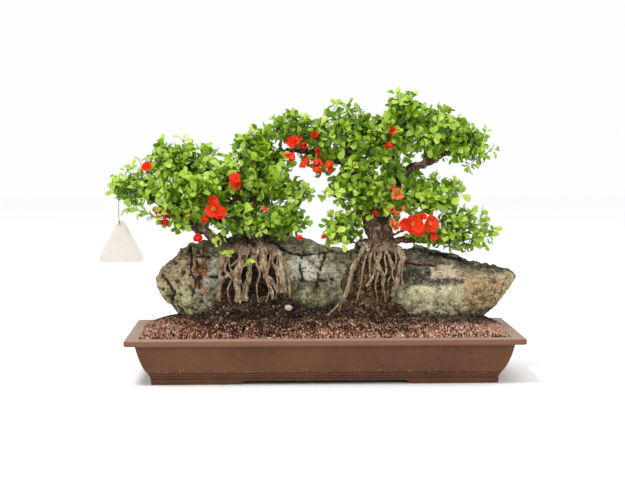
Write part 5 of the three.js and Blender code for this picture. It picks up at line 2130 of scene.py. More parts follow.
@dataclass
class Wood:
    """Roots, trunks and branches of one plant, each a route with a radius at either end."""

    side: Side
    limbs: list
    seed: int
    thick_from: float = 3.0
    voxel: float = 1.35
    taper: float = 0.85
    step: float = 4.0

    def radii(self, count: int, start: float, end: float) -> list[float]:
        """Radii along a limb, in metres."""
        return [(start + (end - start) * (i / (count - 1)) ** self.taper) * MM for i in range(count)]

    def build(self, bark: Material) -> Object:
        """Thick limbs grown together, with the thin ones set into them.

        Args:
            bark: The material.

        Returns:
            The wood.
        """
        thick, thin = Skin(), Skin()
        for i, (route, start, end) in enumerate(self.limbs):
            line = course(route, self.step if start > self.thick_from else 3.0)
            skin = thick if start > self.thick_from else thin
            radii, sides = self.radii(len(line), start, end), 14 if start > 5 else 9
            skin.tube(line, radii, sides, 0.3, i * 3.1 + self.seed)
        raw = new_piece("wood_raw", thick.mesh("wood_raw"))
        remesh = raw.modifiers.new("grow", "REMESH")
        remesh.mode, remesh.voxel_size = "VOXEL", self.voxel * MM
        relax = raw.modifiers.new("relax", "SMOOTH")
        relax.factor, relax.iterations = 0.5, 2
        mesh = finished(raw)

        def height(p: Vector) -> float:
            """Knots and furrows at a point, deeper on the stems.

            Args:
                p: The point, in millimetres.

            Returns:
                Their height, in millimetres.
            """
            long = Vector((p.x / 4.2, p.y / 4.2, p.z / 13))
            knots = 2.1 * noise.noise(p / 15) + 1.5 * noise.noise(p / 7)
            furrow = (0.9 + 1.5 * smooth(p.z, 185, 215)) * noise.noise(long)
            return knots + furrow + 0.5 * noise.noise(p / 2.8) - 0.2

        displaced(mesh, height)
        work = bmesh.new()
        work.from_mesh(mesh)
        work.from_mesh(thin.mesh("wood_thin"))
        edited(mesh, work)
        return declare(new_piece(f"{self.side}_bark", mesh, bark), "bark", f"{self.side}_wood")

    def network(self, least_height: float = 225) -> list[Vector]:
        """Points inside the branches from which twigs may start.

        Args:
            least_height: About the least height of a point, in millimetres.

        Returns:
            The points, in metres.
        """
        made = []
        for route, _, _ in self.limbs:
            if route[-1][2] > least_height - 20:
                made.extend(p for p in course(route, 5.0) if p.z > least_height * MM - 0.03)
        return made


# Leaves

# Middles and half sizes.
SPRAYS = {
    "left_tip": ((-286, -10, 294), (47, 35, 32)),
    "left_crown": ((-224, 6, 335), (55, 40, 26)),
    "left_front": ((-204, -34, 284), (50, 32, 33)),
    "left_back": ((-190, 42, 296), (54, 34, 32)),
    "left_low_front": ((-222, -30, 250), (31, 20, 16)),
    "left_low_back": ((-186, 44, 250), (42, 29, 20)),
    "left_centre": ((-156, -4, 302), (32, 30, 28)),
    "left_trunk_top": ((-101, -5, 314), (49, 38, 38)),
    "left_inner": ((-134, -30, 250), (28, 20, 21)),
    "left_rear": ((-108, 54, 282), (45, 29, 31)),
    "left_arm": ((-52, 0, 289), (33, 24, 17)),
    "left_right_low": ((-62, -8, 242), (44, 31, 25)),
    "right_long_tip": ((-108, 2, 356), (34, 27, 26)),
    "right_long_middle": ((-45, 2, 382), (40, 29, 25)),
    "right_long_low": ((-76, 4, 336), (19, 15, 12)),
    "right_leader": ((0, 8, 338), (27, 22, 21)),
    "right_shoulder": ((42, 2, 386), (40, 33, 32)),
    "right_apex": ((128, 2, 408), (36, 32, 27)),
    "right_crown": ((180, -10, 376), (54, 37, 40)),
    "right_crown_tip": ((228, 2, 356), (36, 29, 28)),
    "right_crown_left": ((92, -6, 368), (37, 30, 29)),
    "right_crown_back": ((112, 52, 372), (46, 28, 32)),
    "right_stem": ((53, -8, 292), (44, 34, 40)),
    "right_middle": ((168, -6, 280), (48, 33, 29)),
    "right_middle_back": ((122, 50, 284), (43, 28, 30)),
    "right_low": ((214, -8, 226), (49, 37, 34)),
    "right_low_left": ((32, -14, 232), (31, 24, 24)),
    "right_fork": ((64, -6, 340), (42, 18, 24)),
    "right_bridge": ((-4, -2, 372), (26, 20, 22)),
    "right_bole": ((93, -20, 272), (31, 11, 31)),
    "right_hem": ((164, -24, 219), (36, 12, 11)),
    "right_knee": ((104, -12, 318), (24, 12, 14)),
    "left_skirt": ((-104, -36, 241), (30, 10, 11)),
    "left_hem": ((-62, -30, 233), (26, 12, 10)),
}
# Sprays that no node of the part stands for.
LOOSE_SPRAYS = (
    "right_fork", "right_bridge", "right_bole", "right_hem", "right_knee", "left_skirt", "left_hem",
)
# Stretches without leaves, from left to right and from low to high.
BARE = ((-345, -299, 240, 283), (-274, -246, 262, 272))
# Share of the usual leaf size in sprays of finer growth.
FINE = {"right_low": 0.8, "left_tip": 0.9, "right_crown_tip": 0.9}
# Single tufts outside the sprays: shoots, and leaves among the roots.
SHOOTS = {
    "left_crown": [(-216, -2, 366), (-246, 4, 360)],
    "left_tip": [(-283, -6, 336), (-322, -8, 300)],
    "left_low_front": [(-294, -26, 262), (-282, -30, 260), (-270, -30, 256), (-258, -32, 250)],
    "left_inner": [(-114, -58, 186), (-149, -52, 200), (-98, -50, 230), (-158, -46, 220), (-152, -44, 236)],
    "right_low_left": [(27, -46, 210), (17, -44, 226)],
    "right_crown_tip": [(254, -2, 380), (262, -6, 350)],
    "right_apex": [(112, -4, 436), (140, 0, 434)],
    "right_shoulder": [(12, -4, 408), (40, 0, 416)],
    "right_long_middle": [(-74, 0, 396), (-32, 0, 402)],
    "right_low": [(250, -10, 244), (256, -12, 216), (150, -26, 214), (172, -28, 220), (158, -22, 224)],
    "left_arm": [(-24, -2, 282)],
}


@dataclass
class Foliage:
    """Rosettes of small leaves on thin twigs, spray by spray, in millimetres."""

    leaf: tuple[float, float] = (12.4, 18.6)
    rosette_area: float = 204
    # Height of the tiers that a spray's tufts gather in, and how strongly they do.
    tier: float = 17
    gather: float = 0.85
    leaves: tuple[int, int] = (3, 6)
    lift: tuple[float, float] = (4, 66)
    depths: tuple = (1.1, 1.0, 0.95, 0.92, 0.88, 0.82, 0.74, 0.64, 0.5)
    spur: float = 1.5
    # Radii of a twig at its foot and at its tip.
    twig: tuple[float, float] = (1.7, 0.6)
    joint: float = 9
    # How many of the nearest points of the branches a spray's twigs may start from.
    reach: int = 40

    def leaf_shape(self, kind: int) -> Mesh:
        """A closed leaf 1 long along +Y: narrow foot, round tip, folded and bowed by its kind.

        Args:
            kind: Which of the shapes it is.

        Returns:
            The leaf.
        """
        fold, bow, twist = ((0.2, 0.07, 0.0), (0.4, 0.14, 0.07), (0.1, -0.08, -0.06))[kind]
        stations = ((0.0, 0.0), (0.36, 0.18), (0.7, 0.3), (0.92, 0.19), (1.0, 0.0))
        thick = 0.022
        work = bmesh.new()
        grid = work.loops.layers.uv.new("grid")
        flags = {}
        tops, under = [], []
        for y, half in stations:
            middle = Vector((twist * math.sin(y * 3), y, bow * math.sin(y * math.pi) * 1.2 - 0.1 * y * y))
            row = [work.verts.new(middle)]
            if half:
                left, right = (Vector((side * half, 0, fold * half + twist * side * y)) for side in (-1, 1))
                row = [work.verts.new(middle + left), row[0], work.verts.new(middle + right)]
            tops.append(row)
            under.append(work.verts.new(middle - Vector((0, 0, thick))) if half else row[0])
            flags.update({vert: (u, y) for vert, u in zip(row, (0.0, 0.5, 1.0) if half else (0.5,))})
            flags[under[-1]] = (0.5, y)
        for r in (1, 2):
            (a, b, c), (d, e, f), g, h = tops[r], tops[r + 1], under[r], under[r + 1]
            for loop in ((a, b, e, d), (b, c, f, e), (a, d, h, g), (c, g, h, f)):
                work.faces.new(loop)
        for end, row in ((0, 1), (4, 3)):
            tip = tops[end][0]
            for a, b in ((tops[row][0], tops[row][1]), (tops[row][1], tops[row][2])):
                work.faces.new((tip, a, b))
            work.faces.new((tip, under[row], tops[row][0]))
            work.faces.new((tip, tops[row][2], under[row]))
        bmesh.ops.recalc_face_normals(work, faces=work.faces)
        for face in work.faces:
            for loop in face.loops:
                loop[grid].uv = flags[loop.vert]
        rims = {v for row in tops for v in (row[0], row[-1])}
        for edge in work.edges:
            if edge.verts[0] in rims and edge.verts[1] in rims:
                edge.smooth = False
        return edited(bpy.data.meshes.new(f"leaf_{kind}"), work)

    def seats(self, centre: Triple, half: Triple, draw: random.Random) -> list[tuple[Vector, Vector]]:
        """Middles and axes of a spray's rosettes, mostly near its surface and in small clumps.

        Args:
            centre: Middle of the spray.
            half: Its half sizes.
            draw: Random numbers.

        Returns:
            A middle and an axis for each rosette.
        """
        a, b, c = half
        area = 4 * math.pi * (((a * b) ** 1.6 + (b * c) ** 1.6 + (c * a) ** 1.6) / 3) ** (1 / 1.6)
        count = max(6, round(area / self.rosette_area))
        made: list[tuple[Vector, Vector]] = []
        shift = Vector((draw.uniform(0, 50), 0, 0))
        for i in range(count):
            z = 1 - 2 * (i + 0.5) / count
            flat = math.sqrt(1 - z * z)
            angle = GOLDEN * i + draw.uniform(-0.3, 0.3)
            way = Vector((flat * math.cos(angle), flat * math.sin(angle), z))
            swell = 0.95 + 0.5 * noise.noise(way * 2.3 + shift)
            depth = draw.choice(self.depths) * swell
            place = Vector(centre) + Vector([w * h for w, h in zip(way, half)]) * depth
            place -= Vector([w * 5 for w in way])
            level = place.z + 9 * noise.noise(Vector((place.x / 26, place.y / 26, 5)))
            phase = level * 2 * math.pi / self.tier
            place.z -= self.gather * self.tier / (2 * math.pi) * math.sin(phase)
            out = Vector([w / h for w, h in zip(way, half)]).normalized()
            axis = (out + stray(draw, 0.5) + UP * 0.35).normalized()
            made.append((spot(place), axis))
        return made

    @staticmethod
    def bare(place: Vector) -> bool:
        """Whether a tuft would stand where the branches are bare."""
        x, z = place.x / MM - TRAY_X, place.z / MM
        return any(left < x < right and low < z < high for left, right, low, high in BARE)

    def rosette(
        self, place: Vector, axis: Vector, draw: random.Random, fresh: float, share: float
    ) -> list[Copy]:
        """The leaves of one tuft, which stand round a short spur.

        Args:
            place: Its middle, in metres.
            axis: The spur's way.
            draw: Random numbers.
            fresh: How light its leaves are painted, from 0 to 1: new growth together with painted light and
                shade.
            share: Share of the usual size of leaf.

        Returns:
            The leaves.
        """
        side = axis.orthogonal().normalized()
        count = draw.randint(*self.leaves)
        made = []
        start = draw.uniform(0, 2 * math.pi)
        size = draw.uniform(0.72, 1.08) * share
        for i in range(count):
            spoke = Quaternion(axis, start + i * 2.4 + draw.uniform(-0.4, 0.4)) @ side
            rise = math.radians(draw.uniform(*self.lift))
            along = (spoke * math.cos(rise) + axis * math.sin(rise)).normalized()
            up = axis * math.cos(rise) - spoke * math.sin(rise) + stray(draw, 0.25)
            length = draw.uniform(*self.leaf) * size * MM
            width = length * draw.uniform(0.85, 1.15)
            tint = min(max(fresh + draw.gauss(0, 0.24), 0), 1)
            foot = place + (axis * (i * self.spur - 3) + spoke * 0.9) * MM
            made.append(Copy(foot, turned(along, up), (width, length, length), draw.randrange(3), tint))
        return made

    def twigs(self, net: Net, seats: list, anchors: list[Vector], draw: random.Random) -> None:
        """Adds thin twigs from the nearest branch to every rosette.

        Args:
            net: Collects the twigs.
            seats: Middles and axes of the rosettes.
            anchors: Points inside the branches.
            draw: Random numbers.
        """
        order = sorted(seats, key=lambda seat: min((seat[0] - a).length_squared for a in anchors))
        thickest, tip = (radius * MM for radius in self.twig)
        grown: list[tuple[Vector, float]] = [(p, thickest) for p in anchors]
        for place, axis in order:
            foot = place - axis * 2 * MM
            start, thick = min(grown, key=lambda g: (g[0] - foot).length_squared)
            length = (foot - start).length
            steps = max(2, round(length / (self.joint * MM)))
            sag = stray(draw, 0.07) * length
            for k in range(steps + 1):
                t = k / steps
                p = start.lerp(foot, t) + sag * math.sin(t * math.pi)
                p = p + axis * (t * t * (1 - t)) * length * 0.4
                radius = thick * 0.92 + (tip - thick * 0.92) * t
                net.step(p, radius, k > 0)
                if k > steps // 2:
                    grown.append((p, max(radius, tip)))

    def spray(self, name: str, near: list[Vector], net: Net, draw: random.Random) -> list[Copy]:
        """The leaves of one spray.

        Args:
            name: The spray's name in the tables.
            near: Points inside the nearest branches.
            net: Collects its twigs.
            draw: Random numbers.

        Returns:
            The leaves.
        """
        centre, half = SPRAYS[name]
        middle = spot(centre)
        seats = self.seats(centre, half, draw)
        for place in map(spot, SHOOTS.get(name, [])):
            seats.append((place, (place - middle + Vector((0, -0.005, 0.01))).normalized()))
        seats = [seat for seat in seats if not self.bare(seat[0])]
        leaves: list[Copy] = []
        for place, axis in seats:
            height = (place.z / MM - centre[2]) / half[2]
            depth = Vector([(a - b) / MM / h for a, b, h in zip(place, middle, half)]).length
            # Higher and outer leaves get a lighter tint and inner ones a darker one: painted light and shade,
            # mixed with new growth at the tips.
            fresh = 0.54 + 0.16 * height + 0.7 * (depth - 0.87) + 0.2 * draw.uniform(-1, 1)
            leaves.extend(self.rosette(place, axis, draw, fresh, FINE.get(name, 1.0)))
        self.twigs(net, seats, near, draw)
        return leaves

    def build(self, woods: dict[Side, Wood]) -> None:
        """All sprays, and each plant's twigs.

        Args:
            woods: Each plant's wood, by its side.
        """
        leaf, twig = Leaf().material(), Twig().material()
        shapes = shelf("leaf_shapes", [self.leaf_shape(kind) for kind in range(3)])
        settings = {"Shapes": shapes, "Finish": leaf}
        copies = copies_recipe()
        for side, wood in woods.items():
            network, net = wood.network(), Net()
            for i, name in enumerate(SPRAYS):
                if not name.startswith(side):
                    continue
                middle = spot(SPRAYS[name][0])
                near = sorted(network, key=lambda p: (p - middle).length)[: self.reach]
                leaves = self.spray(name, near, net, random.Random(900 + i))
                nodes = [] if name in LOOSE_SPRAYS else [f"spray_{name}"]
                mesh = copies.make(f"{name}_leaves", cloud(name, leaves), settings)
                declare(new_piece(f"{name}_leaves", mesh), "leaf", *nodes)
            declare(new_piece(f"{side}_twigs", net.tubes(4, twig)), "bark")


# Blooms

# Middle, way it faces, petal length, lift of the petals in degrees, and where its stalk starts.
# A smaller bloom that joins those of the same piece has no start: it grows from the nearest branch.
BLOOMS = {
    "bloom_main": [
        ((136, -48, 239), (-0.1, -1, 0.12), 16.5, 16, (134, -37, 235)),
        ((148, -44, 229), (0.3, -0.9, -0.3), 10, 44),
    ],
    "bloom_second": [
        ((161, -44, 238), (0.35, -0.9, 0.3), 14.5, 34, (156, -34, 232)),
        ((167, -37, 224), (0.25, -0.45, -0.85), 13, 62, (158, -38, 235)),
        ((150, -42, 247), (0.1, -0.9, 0.5), 9, 40),
    ],
    "bloom_left": [
        ((113, -44, 240), (-0.45, -0.8, -0.35), 13, 62, (122, -31, 230)),
        ((107, -46, 243), (-0.5, -0.8, 0.2), 7, 64),
    ],
    "bloom_old": [
        ((112, -30, 282), (0, -0.8, 0.6), 11, 38, (110, -20, 279)),
        ((107, -32, 293), (-0.2, -0.8, 0.5), 6, 60),
    ],
    "bloom_inner": [
        ((105, -35, 259), (-0.2, -0.9, 0.3), 8, 50, (106, -26, 257)),
        ((122, -40, 262), (0.2, -0.9, 0.2), 6, 60), ((113, -38, 256), (0, -0.9, -0.3), 6, 56),
    ],
    "bloom_bole": [((82, -30, 256), (-0.2, -0.9, -0.3), 8, 62, (76, -14, 245))],
    "bud_berry": [((3, -29, 218), (-0.8, -0.3, 0.2), 7, 78, (10, -28, 215))],
    "bloom_leader": [
        ((102, -33, 360), (-0.2, -0.8, -0.4), 10, 50, (104, -26, 357)),
        ((104, -34, 381), (-0.1, -0.9, 0.2), 8, 54),
    ],
    "bud_stem": [((47, -26, 324), (0, -0.5, 0.8), 8, 68, (47, -20, 320))],
    "bloom_branch_left": [
        ((-46, -24, 361), (-0.5, -0.75, 0.35), 10.5, 42, (-41, -19, 357)),
        ((-47, -25, 347), (-0.3, -0.3, -0.9), 12, 64, (-44, -22, 359)),
        ((-37, -22, 369), (0.1, -0.7, 0.6), 7, 60), ((-31, -24, 358), (0.3, -0.9, -0.1), 9, 50),
        ((-56, -20, 346), (-0.3, -0.4, -0.8), 7, 66),
    ],
    "bloom_branch_middle": [
        ((-27, -14, 341), (0.1, -0.3, -0.95), 13, 66, (-26, -4, 347)),
        ((-31, -22, 334), (0, -0.3, -0.95), 9, 66), ((-13, -22, 373), (0.1, -0.8, 0.5), 8.5, 52),
    ],
    "bloom_branch_right": [
        ((-9, -22, 339), (-0.2, -0.4, -0.9), 12.5, 60, (-6, -16, 343)),
        ((6, -22, 334), (0.5, -0.35, -0.75), 12, 64, (-7, -18, 342)),
        ((-9, -24, 351), (0, -0.95, 0), 8, 52), ((-8, -22, 326), (-0.1, -0.3, -0.9), 10.5, 58),
        ((8, -20, 324), (0.5, -0.2, -0.8), 8, 64),
    ],
    "bud_left_stem": [
        ((-131, -34, 300), (-0.5, -0.75, 0.3), 11, 40, (-127, -28, 297)),
        ((-134, -40, 309), (-0.2, -0.8, 0.5), 9, 44),
    ],
    "bloom_left_front": [
        ((-168, -60, 263), (0.05, -0.95, 0.25), 13.5, 24, (-172, -52, 258)),
        ((-159, -58, 258), (0.3, -0.9, 0.1), 12, 34), ((-179, -56, 249), (-0.3, -0.8, -0.4), 9, 48),
        ((-168, -54, 275), (0, -0.8, 0.5), 9, 44),
    ],
    "bud_left_inner": [((-89, -43, 260), (0.1, -0.8, 0.5), 8, 60, (-91, -38, 255))],
    "bud_left_right": [((-40, -33, 217), (0.8, -0.5, 0.1), 8, 56, (-46, -30, 218))],
    "bloom_left_under": [((-192, -38, 224), (0, -0.5, -0.87), 13, 60, (-192, -30, 230))],
    "bloom_left_branch": [
        ((-240, -36, 256), (-0.4, -0.9, 0), 11, 45, (-236, -25, 257)),
        ((-253, -40, 258), (-0.4, -0.8, 0.2), 9, 50), ((-243, -38, 246), (-0.1, -0.6, -0.8), 9, 54),
        ((-208, -44, 257), (0, -0.9, 0.1), 8, 48), ((-268, -46, 326), (-0.3, -0.8, 0.5), 9, 44),
    ],
}
# Blooms that show their stamens.
OPEN_BLOOMS = ("bloom_main", "bloom_second", "bloom_left_front")
# Older blooms that have turned orange.
FADED = ("bloom_old", "bloom_inner", "bloom_left", "bud_left_inner")


class Corolla(Skin):
    """A skin that keeps a place across and along the petal and a tint for each point."""

    def __init__(self) -> None:
        """Starts empty."""
        super().__init__()
        self.grid: list[tuple[float, float]] = []
        self.tints: list[float] = []

    def mark(self, place: tuple[float, float], tint: float) -> None:
        """Gives every point that has none yet its place and tint.

        Args:
            place: Place across and along the petal.
            tint: The tint.
        """
        fresh = len(self.points) - len(self.tints)
        self.grid.extend([place] * fresh)
        self.tints.extend([tint] * fresh)

    def marked(self, name: str) -> Mesh:
        """The mesh, with its places as a UV map and its tints.

        Args:
            name: The mesh's name.

        Returns:
            The mesh.
        """
        mesh = self.mesh(name)
        set_level(mesh, "tint", self.tints)
        corners = np.empty(len(mesh.loops), dtype=np.int32)
        mesh.loops.foreach_get("vertex_index", corners)
        places = np.array(self.grid, dtype=np.float32)
        mesh.uv_layers.new(name="grid").data.foreach_set("uv", places[corners].ravel())
        return mesh


@dataclass
class Flowers:
    """Blooms and buds with ruffled petals, a calyx, a stalk and stamens, in millimetres."""

    petal_thickness: float = 0.5
    rows: int = 7
    columns: int = 6
    stamens: int = 22

    def petal(self, skin: Corolla, seat: dict, draw: random.Random) -> None:
        """Adds one closed petal.

        Args:
            skin: Collects its points and faces.
            seat: The petal's foot, spoke, axis, length, width, lift, cup and tint.
            draw: Random numbers.
        """
        rise = math.radians(seat["lift"])
        spoke, axis = seat["spoke"], seat["axis"]
        across = axis.cross(spoke)
        wave, phase = draw.uniform(0.08, 0.2), draw.uniform(0, 6)
        sheets = []
        for face in (1, -1):
            sheet = []
            for r in range(self.rows + 1):
                v = r / self.rows
                bend = rise + seat["curl"] * (v - 0.35)
                along = spoke * math.cos(bend) + axis * math.sin(bend)
                normal = axis * math.cos(bend) - spoke * math.sin(bend)
                swell = math.sin(math.pi * min(v**0.85 * 0.72 + 0.05, 1)) ** 0.8
                for k in range(self.columns + 1):
                    u = k / self.columns * 2 - 1
                    round_end = math.sqrt(max(1 - (u * 0.8) ** 2, 0))
                    reach = v * (0.82 + 0.18 * round_end)
                    ruffle = wave * math.sin(u * 5 + phase) * v * v
                    ruffle += 0.04 * math.sin(u * 9 + v * 7 + phase) * v
                    cup = seat["cup"] * (u * u) * swell - ruffle
                    place = seat["foot"] + along * (reach * seat["length"])
                    place = place + across * (u * swell * seat["width"] / 2)
                    place = place + normal * (cup * seat["length"])
                    rim = abs(k - self.columns / 2) == self.columns / 2 or r in (0, self.rows)
                    shift = 0.12 if rim else 0.5
                    sheet.append(place + normal * (face * shift * self.petal_thickness * MM))
                    skin.grid.append((k / self.columns, v))
                    skin.tints.append(seat["tint"])
            sheets.append(sheet)
        first, wide = len(skin.points), self.columns + 1
        skin.points.extend(sheets[0] + sheets[1])
        size = len(sheets[0])
        for r in range(self.rows):
            for k in range(self.columns):
                a = first + r * wide + k
                top = (a, a + 1, a + 1 + wide, a + wide)
                skin.faces.append(top)
                skin.faces.append(tuple(i + size for i in reversed(top)))
        rim = [*range(wide), *(r * wide + wide - 1 for r in range(1, self.rows + 1))]
        rim += [self.rows * wide + k for k in range(self.columns - 1, -1, -1)]
        rim += [r * wide for r in range(self.rows - 1, 0, -1)]
        for a, b in zip(rim, rim[1:] + rim[:1]):
            skin.faces.append((first + b, first + a, first + a + size, first + b + size))

    def flower(self, skin: Corolla, facts: tuple, foot: Vector, name: str, draw: random.Random) -> None:
        """Adds a flower of the named piece: petals in one or two whorls, calyx and stalk.

        Args:
            skin: Collects its points and faces.
            facts: Its row of the table.
            foot: Where its stalk starts, in metres.
            name: The piece's name.
            draw: Random numbers.
        """
        full, faded = facts is BLOOMS["bloom_main"][0], name in FADED
        centre, facing, length, angle = facts[:4]
        axis = Vector(facing).normalized()
        middle = spot(centre)
        side = axis.orthogonal().normalized()
        closed = angle > 44
        swing = 24 if full else 17
        whorls = [(1.0, 0.0, 5)]
        if full:
            whorls.append((0.78, 20.0, 4))
        mood = 2.5 if faded else draw.uniform(0, 1)
        for share, extra, petals in whorls:
            turn = draw.uniform(0, 6)
            for i in range(petals):
                spoke = Quaternion(axis, turn + 2 * math.pi * (i + draw.uniform(-0.2, 0.2)) / petals) @ side
                seat = {
                    "foot": middle + axis * (extra * 0.02 - 0.6) * MM + spoke * draw.uniform(0.4, 2) * MM,
                    "spoke": spoke,
                    "axis": axis,
                    "length": length * share * draw.uniform(0.74, 1.22) * MM,
                    "width": length * share * draw.uniform(1.0, 1.3) * (0.8 if closed else 1) * MM,
                    "lift": min(angle * (0.86 if closed else 1) + extra + draw.uniform(-swing, swing), 78),
                    "curl": draw.uniform(-0.5, 0.7) if not closed else draw.uniform(0.3, 0.95),
                    "cup": draw.uniform(0.08, 0.22) if not closed else 0.2,
                    "tint": min(mood * 0.36 + draw.uniform(0, 0.3), 1),
                }
                self.petal(skin, seat, draw)
        down = (foot - middle).normalized()
        cup = [middle - axis * gap * MM for gap in (0.9, 1.5, 3.0, 4.6)]
        stout = min(length / 14, 1.1) * MM
        skin.tube(cup, [1.5 * stout, 2.4 * stout, 1.9 * stout, 0.9 * MM], 10)
        stalk = [middle - axis * 3 * MM, middle.lerp(foot, 0.5) - axis * 1.5 * MM, foot + down * 2 * MM]
        stalk = evenly(stalk, 2.5 * MM)
        skin.tube(stalk, [0.9 * MM] * len(stalk), 7)
        skin.mark((0.5, 0.05), -1.0)

    def tuft(self, facts: tuple, draw: random.Random) -> Mesh:
        """Stamens that stand in an open bloom.

        Args:
            facts: The bloom's row of the table.
            draw: Random numbers.

        Returns:
            The stamens.
        """
        centre, facing = facts[:2]
        axis = Vector(facing).normalized()
        base = spot(centre) + axis * 0.8 * MM
        side = axis.orthogonal().normalized()
        skin, tints = Skin(), []
        for i in range(self.stamens):
            ring = 0.25 + 0.75 * math.sqrt((i + 0.5) / self.stamens)
            spoke = Quaternion(axis, i * 2.4) @ side
            root = base + spoke * (1.5 * ring) * MM
            length = (5.6 - 1.4 * ring) * draw.uniform(0.85, 1.1) * MM
            tip = root + (axis + spoke * 0.42 * ring).normalized() * length
            skin.tube([root, root.lerp(tip, 0.5) + axis * 0.3 * MM, tip], [0.24 * MM, 0.2 * MM, 0.16 * MM], 5)
            tints.extend([0.0] * (len(skin.points) - len(tints)))
            head = (tip - root).normalized()
            line = [tip + head * gap * MM for gap in (-0.2, 0.3, 0.8, 1.2)]
            skin.tube(line, [0.3 * MM, 0.55 * MM, 0.52 * MM, 0.25 * MM], 6)
            tints.extend([1.0] * (len(skin.points) - len(tints)))
        mesh = skin.mesh("stamens")
        set_level(mesh, "tint", tints)
        return mesh

    def build(self, woods: dict[Side, Wood]) -> None:
        """Every bloom, and the stamens of the open ones.

        Args:
            woods: Each plant's wood, by its side.
        """
        anchors = [p for wood in woods.values() for p in wood.network(210)]
        petal, yellow = Petal().material(), Stamen().material()
        for i, (name, flowers) in enumerate(BLOOMS.items()):
            draw, skin = random.Random(300 + i), Corolla()
            for facts in flowers:
                middle = spot(facts[0])
                near = min(anchors, key=lambda p: (p - middle).length_squared)
                foot = spot(facts[4]) if len(facts) > 4 else near
                self.flower(skin, facts, foot, name, draw)
            declare(new_piece(f"{name}_petals", skin.marked(name), petal), "petal", name)
            if name in OPEN_BLOOMS:
                node = name.replace("bloom", "stamens")
                tuft = self.tuft(flowers[0], draw)
                declare(new_piece(f"{node}_tuft", tuft, yellow), "stamen", node)


# Tag and thread


@dataclass
class Label:
    """A bare card tag on a thin thread, in millimetres."""

    y: float = -5
    hole: tuple[float, float] = (-314, 234)
    thread_radius: float = 0.5
    thread_top: float = 289.6

    def card(self) -> Object:
        """The card itself, in its finish."""
        return refinish("tag", Card().material())

    def thread(self, card: Object) -> Object:
        """The thread from the twig's tip down and through the card's hole.

        Args:
            card: The card that hangs on it; not used.

        Returns:
            The thread.
        """
        x, z = self.hole
        top, y = self.thread_top, self.y
        route = [
            (-316, y, top), (-316.2, y - 0.6, top - 14), (-316, y - 1.8, z + 12),
            (-315, y - 1.9, z + 4), (x, y - 1.5, z), (x, y + 1.2, z - 0.3),
        ]
        line = course(route, 2.6)
        curve = bpy.data.curves.new("thread_line", "CURVE")
        curve.dimensions, curve.bevel_depth, curve.bevel_resolution = "3D", self.thread_radius * MM, 2
        curve.use_fill_caps = True
        spline = curve.splines.new("POLY")
        spline.points.add(len(line) - 1)
        for point, place in zip(spline.points, line):
            point.co = (*place, 1)
        made = bpy.data.objects.new("thread_line", curve)
        bpy.context.scene.collection.objects.link(made)
        curve.materials.append(Twine().material())
        declare(made, "thread", "thread")
        return made

    def knots(self, thread: Material) -> Object:
        """The turns of thread round the twig's tip, and the small knot at the card's hole.

        Args:
            thread: The thread's material.

        Returns:
            The turns and the knot.
        """
        skin = Skin()
        x, y, z = -315, -5, 291.6
        turns = np.linspace(0, 2 * math.pi, 19)
        for shift in (-1.1, 0.0, 1.1):
            ring = [spot((x + shift, y + 2.5 * math.cos(a), z + 2.5 * math.sin(a))) for a in turns]
            skin.tube(ring, [0.5 * MM] * len(ring), 7)
        knot = [spot((x - 1, y, z - drop)) for drop in (1.6, 2.4, 3.6, 4.4)]
        skin.tube(knot, [0.6 * MM, 1.2 * MM, 1.1 * MM, 0.5 * MM], 9)
        return declare(new_piece("thread_knots", skin.mesh("thread_knots"), thread), "thread")


# Stage


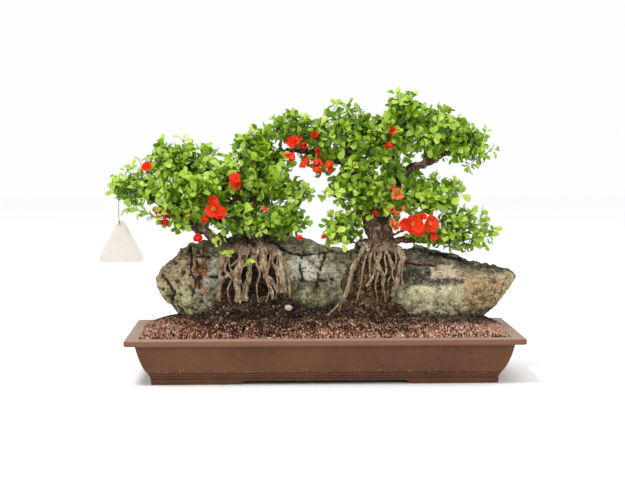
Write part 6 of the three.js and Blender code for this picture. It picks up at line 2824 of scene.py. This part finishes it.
@dataclass
class Studio:
    """Pale floor, soft light and the photographer's place."""

    eye: Triple = (-68.9, -2330.8, 388.5)
    turn: float = 1.54
    down: float = 4.29
    roll: float = -0.14
    focal: float = 86.4
    floor_half: float = 6.0

    def camera(self) -> Object:
        """The camera at the photograph's place.

        Returns:
            The camera.
        """
        lens = bpy.data.cameras.new("camera")
        lens.lens, lens.sensor_width, lens.sensor_fit = self.focal, 36.0, "HORIZONTAL"
        lens.clip_start, lens.clip_end = 0.05, 60
        made = bpy.data.objects.new("camera", lens)
        made.location = Vector(self.eye) * MM
        pitch = Matrix.Rotation(math.radians(90 - self.down), 4, "X")
        yaw = Matrix.Rotation(math.radians(-self.turn), 4, "Z")
        lean = Matrix.Rotation(math.radians(self.roll), 4, "Z")
        made.rotation_euler = (yaw @ pitch @ lean).to_euler()
        bpy.context.scene.collection.objects.link(made)
        bpy.context.scene.camera = made
        return made

    def light(self, name: str, place: Triple, aim: Triple, size: float, power: float) -> None:
        """A large soft lamp.

        Args:
            name: The lamp's name.
            place: Where it is, in metres.
            aim: What it shines at.
            size: Its width, in metres.
            power: Its power, in watts.
        """
        lamp = bpy.data.lights.new(name, "AREA")
        lamp.shape, lamp.size, lamp.energy = "DISK", size, power
        made = bpy.data.objects.new(name, lamp)
        made.location = place
        made.rotation_euler = (Vector(aim) - Vector(place)).to_track_quat("-Z", "Y").to_euler()
        bpy.context.scene.collection.objects.link(made)

    def build(self) -> None:
        """Floor, world and lamps."""
        shader = Shader("floor")
        cloud_of = shader.noise(900, 2)
        floor_tone = shader.mix(cloud_of * 0.2, tone(251, 251, 250), tone(249, 249, 249))
        finish = shader.done(floor_tone, 0.85)
        mesh = bpy.data.meshes.new("floor")
        reach = self.floor_half
        corners = [(-reach, -reach, 0), (reach, -reach, 0), (reach, reach, 0), (-reach, reach, 0)]
        mesh.from_pydata(corners, [], [(0, 1, 2, 3)])
        new_piece("floor", mesh, finish)
        world = bpy.data.worlds.new("sky")
        world.use_nodes = True
        back = world.node_tree.nodes.get("Background") or world.node_tree.nodes.new("ShaderNodeBackground")
        back.inputs["Color"].default_value = tone(254, 254, 255)
        back.inputs["Strength"].default_value = 1.0
        bpy.context.scene.world = world
        self.light("key", (-0.8, -1.2, 2.2), (0, 0, 0.2), 0.6, 38)
        self.light("fill", (1.6, -1.6, 1.2), (0, 0, 0.2), 1.6, 3)
        self.light("back", (0.4, 1.6, 2.1), (0, 0, 0.25), 1.2, 12)
        bpy.context.scene.view_settings.view_transform = "Standard"


def main() -> None:
    """Builds every sub-assembly in order."""
    logging.basicConfig(level=logging.INFO, format="%(message)s")
    studio = Studio()
    studio.camera()
    label = Label()
    thread = label.thread(label.card())
    label.knots(thread.data.materials[0])
    studio.build()
    screen = Plastic().material()
    for i in (1, 2, 3):
        refinish(f"drain_screen_{i}", screen)
    tray = Tray()
    tray.build()
    rock = Rock().build()
    bed = Bed(tray)
    bed.prepare(skin_of(rock))
    bed.build()
    bark = Bark().material()
    rootlet = Bark("rootlet", root=tone(112, 84, 58), pale=tone(150, 122, 90)).material()
    # The left plant's soil is painted darker, as shade in the gaps behind its roots.
    shaded = RootSoil("left_root_soil", brown=tone(46, 34, 25), moss=tone(78, 72, 34))
    for side, seed, finish in ((Side.LEFT, 31, shaded), (Side.RIGHT, 37, RootSoil())):
        root_ball = RootBall(side, LUMPS[side], seed, finish)
        ball = root_ball.build(bed)
        root_ball.threads(ball, rootlet)
        if side is Side.LEFT:
            root_ball.stone(ball, (-49, -66, 116), 5.5, bed.finish)
    plants = (Wood(Side.LEFT, LEFT_LIMBS, 41), Wood(Side.RIGHT, RIGHT_LIMBS, 43))
    woods = {wood.side: wood for wood in plants}
    for wood in woods.values():
        wood.build(bark)
    Foliage().build(woods)
    Flowers().build(woods)


if __name__ == "__main__":
    main()
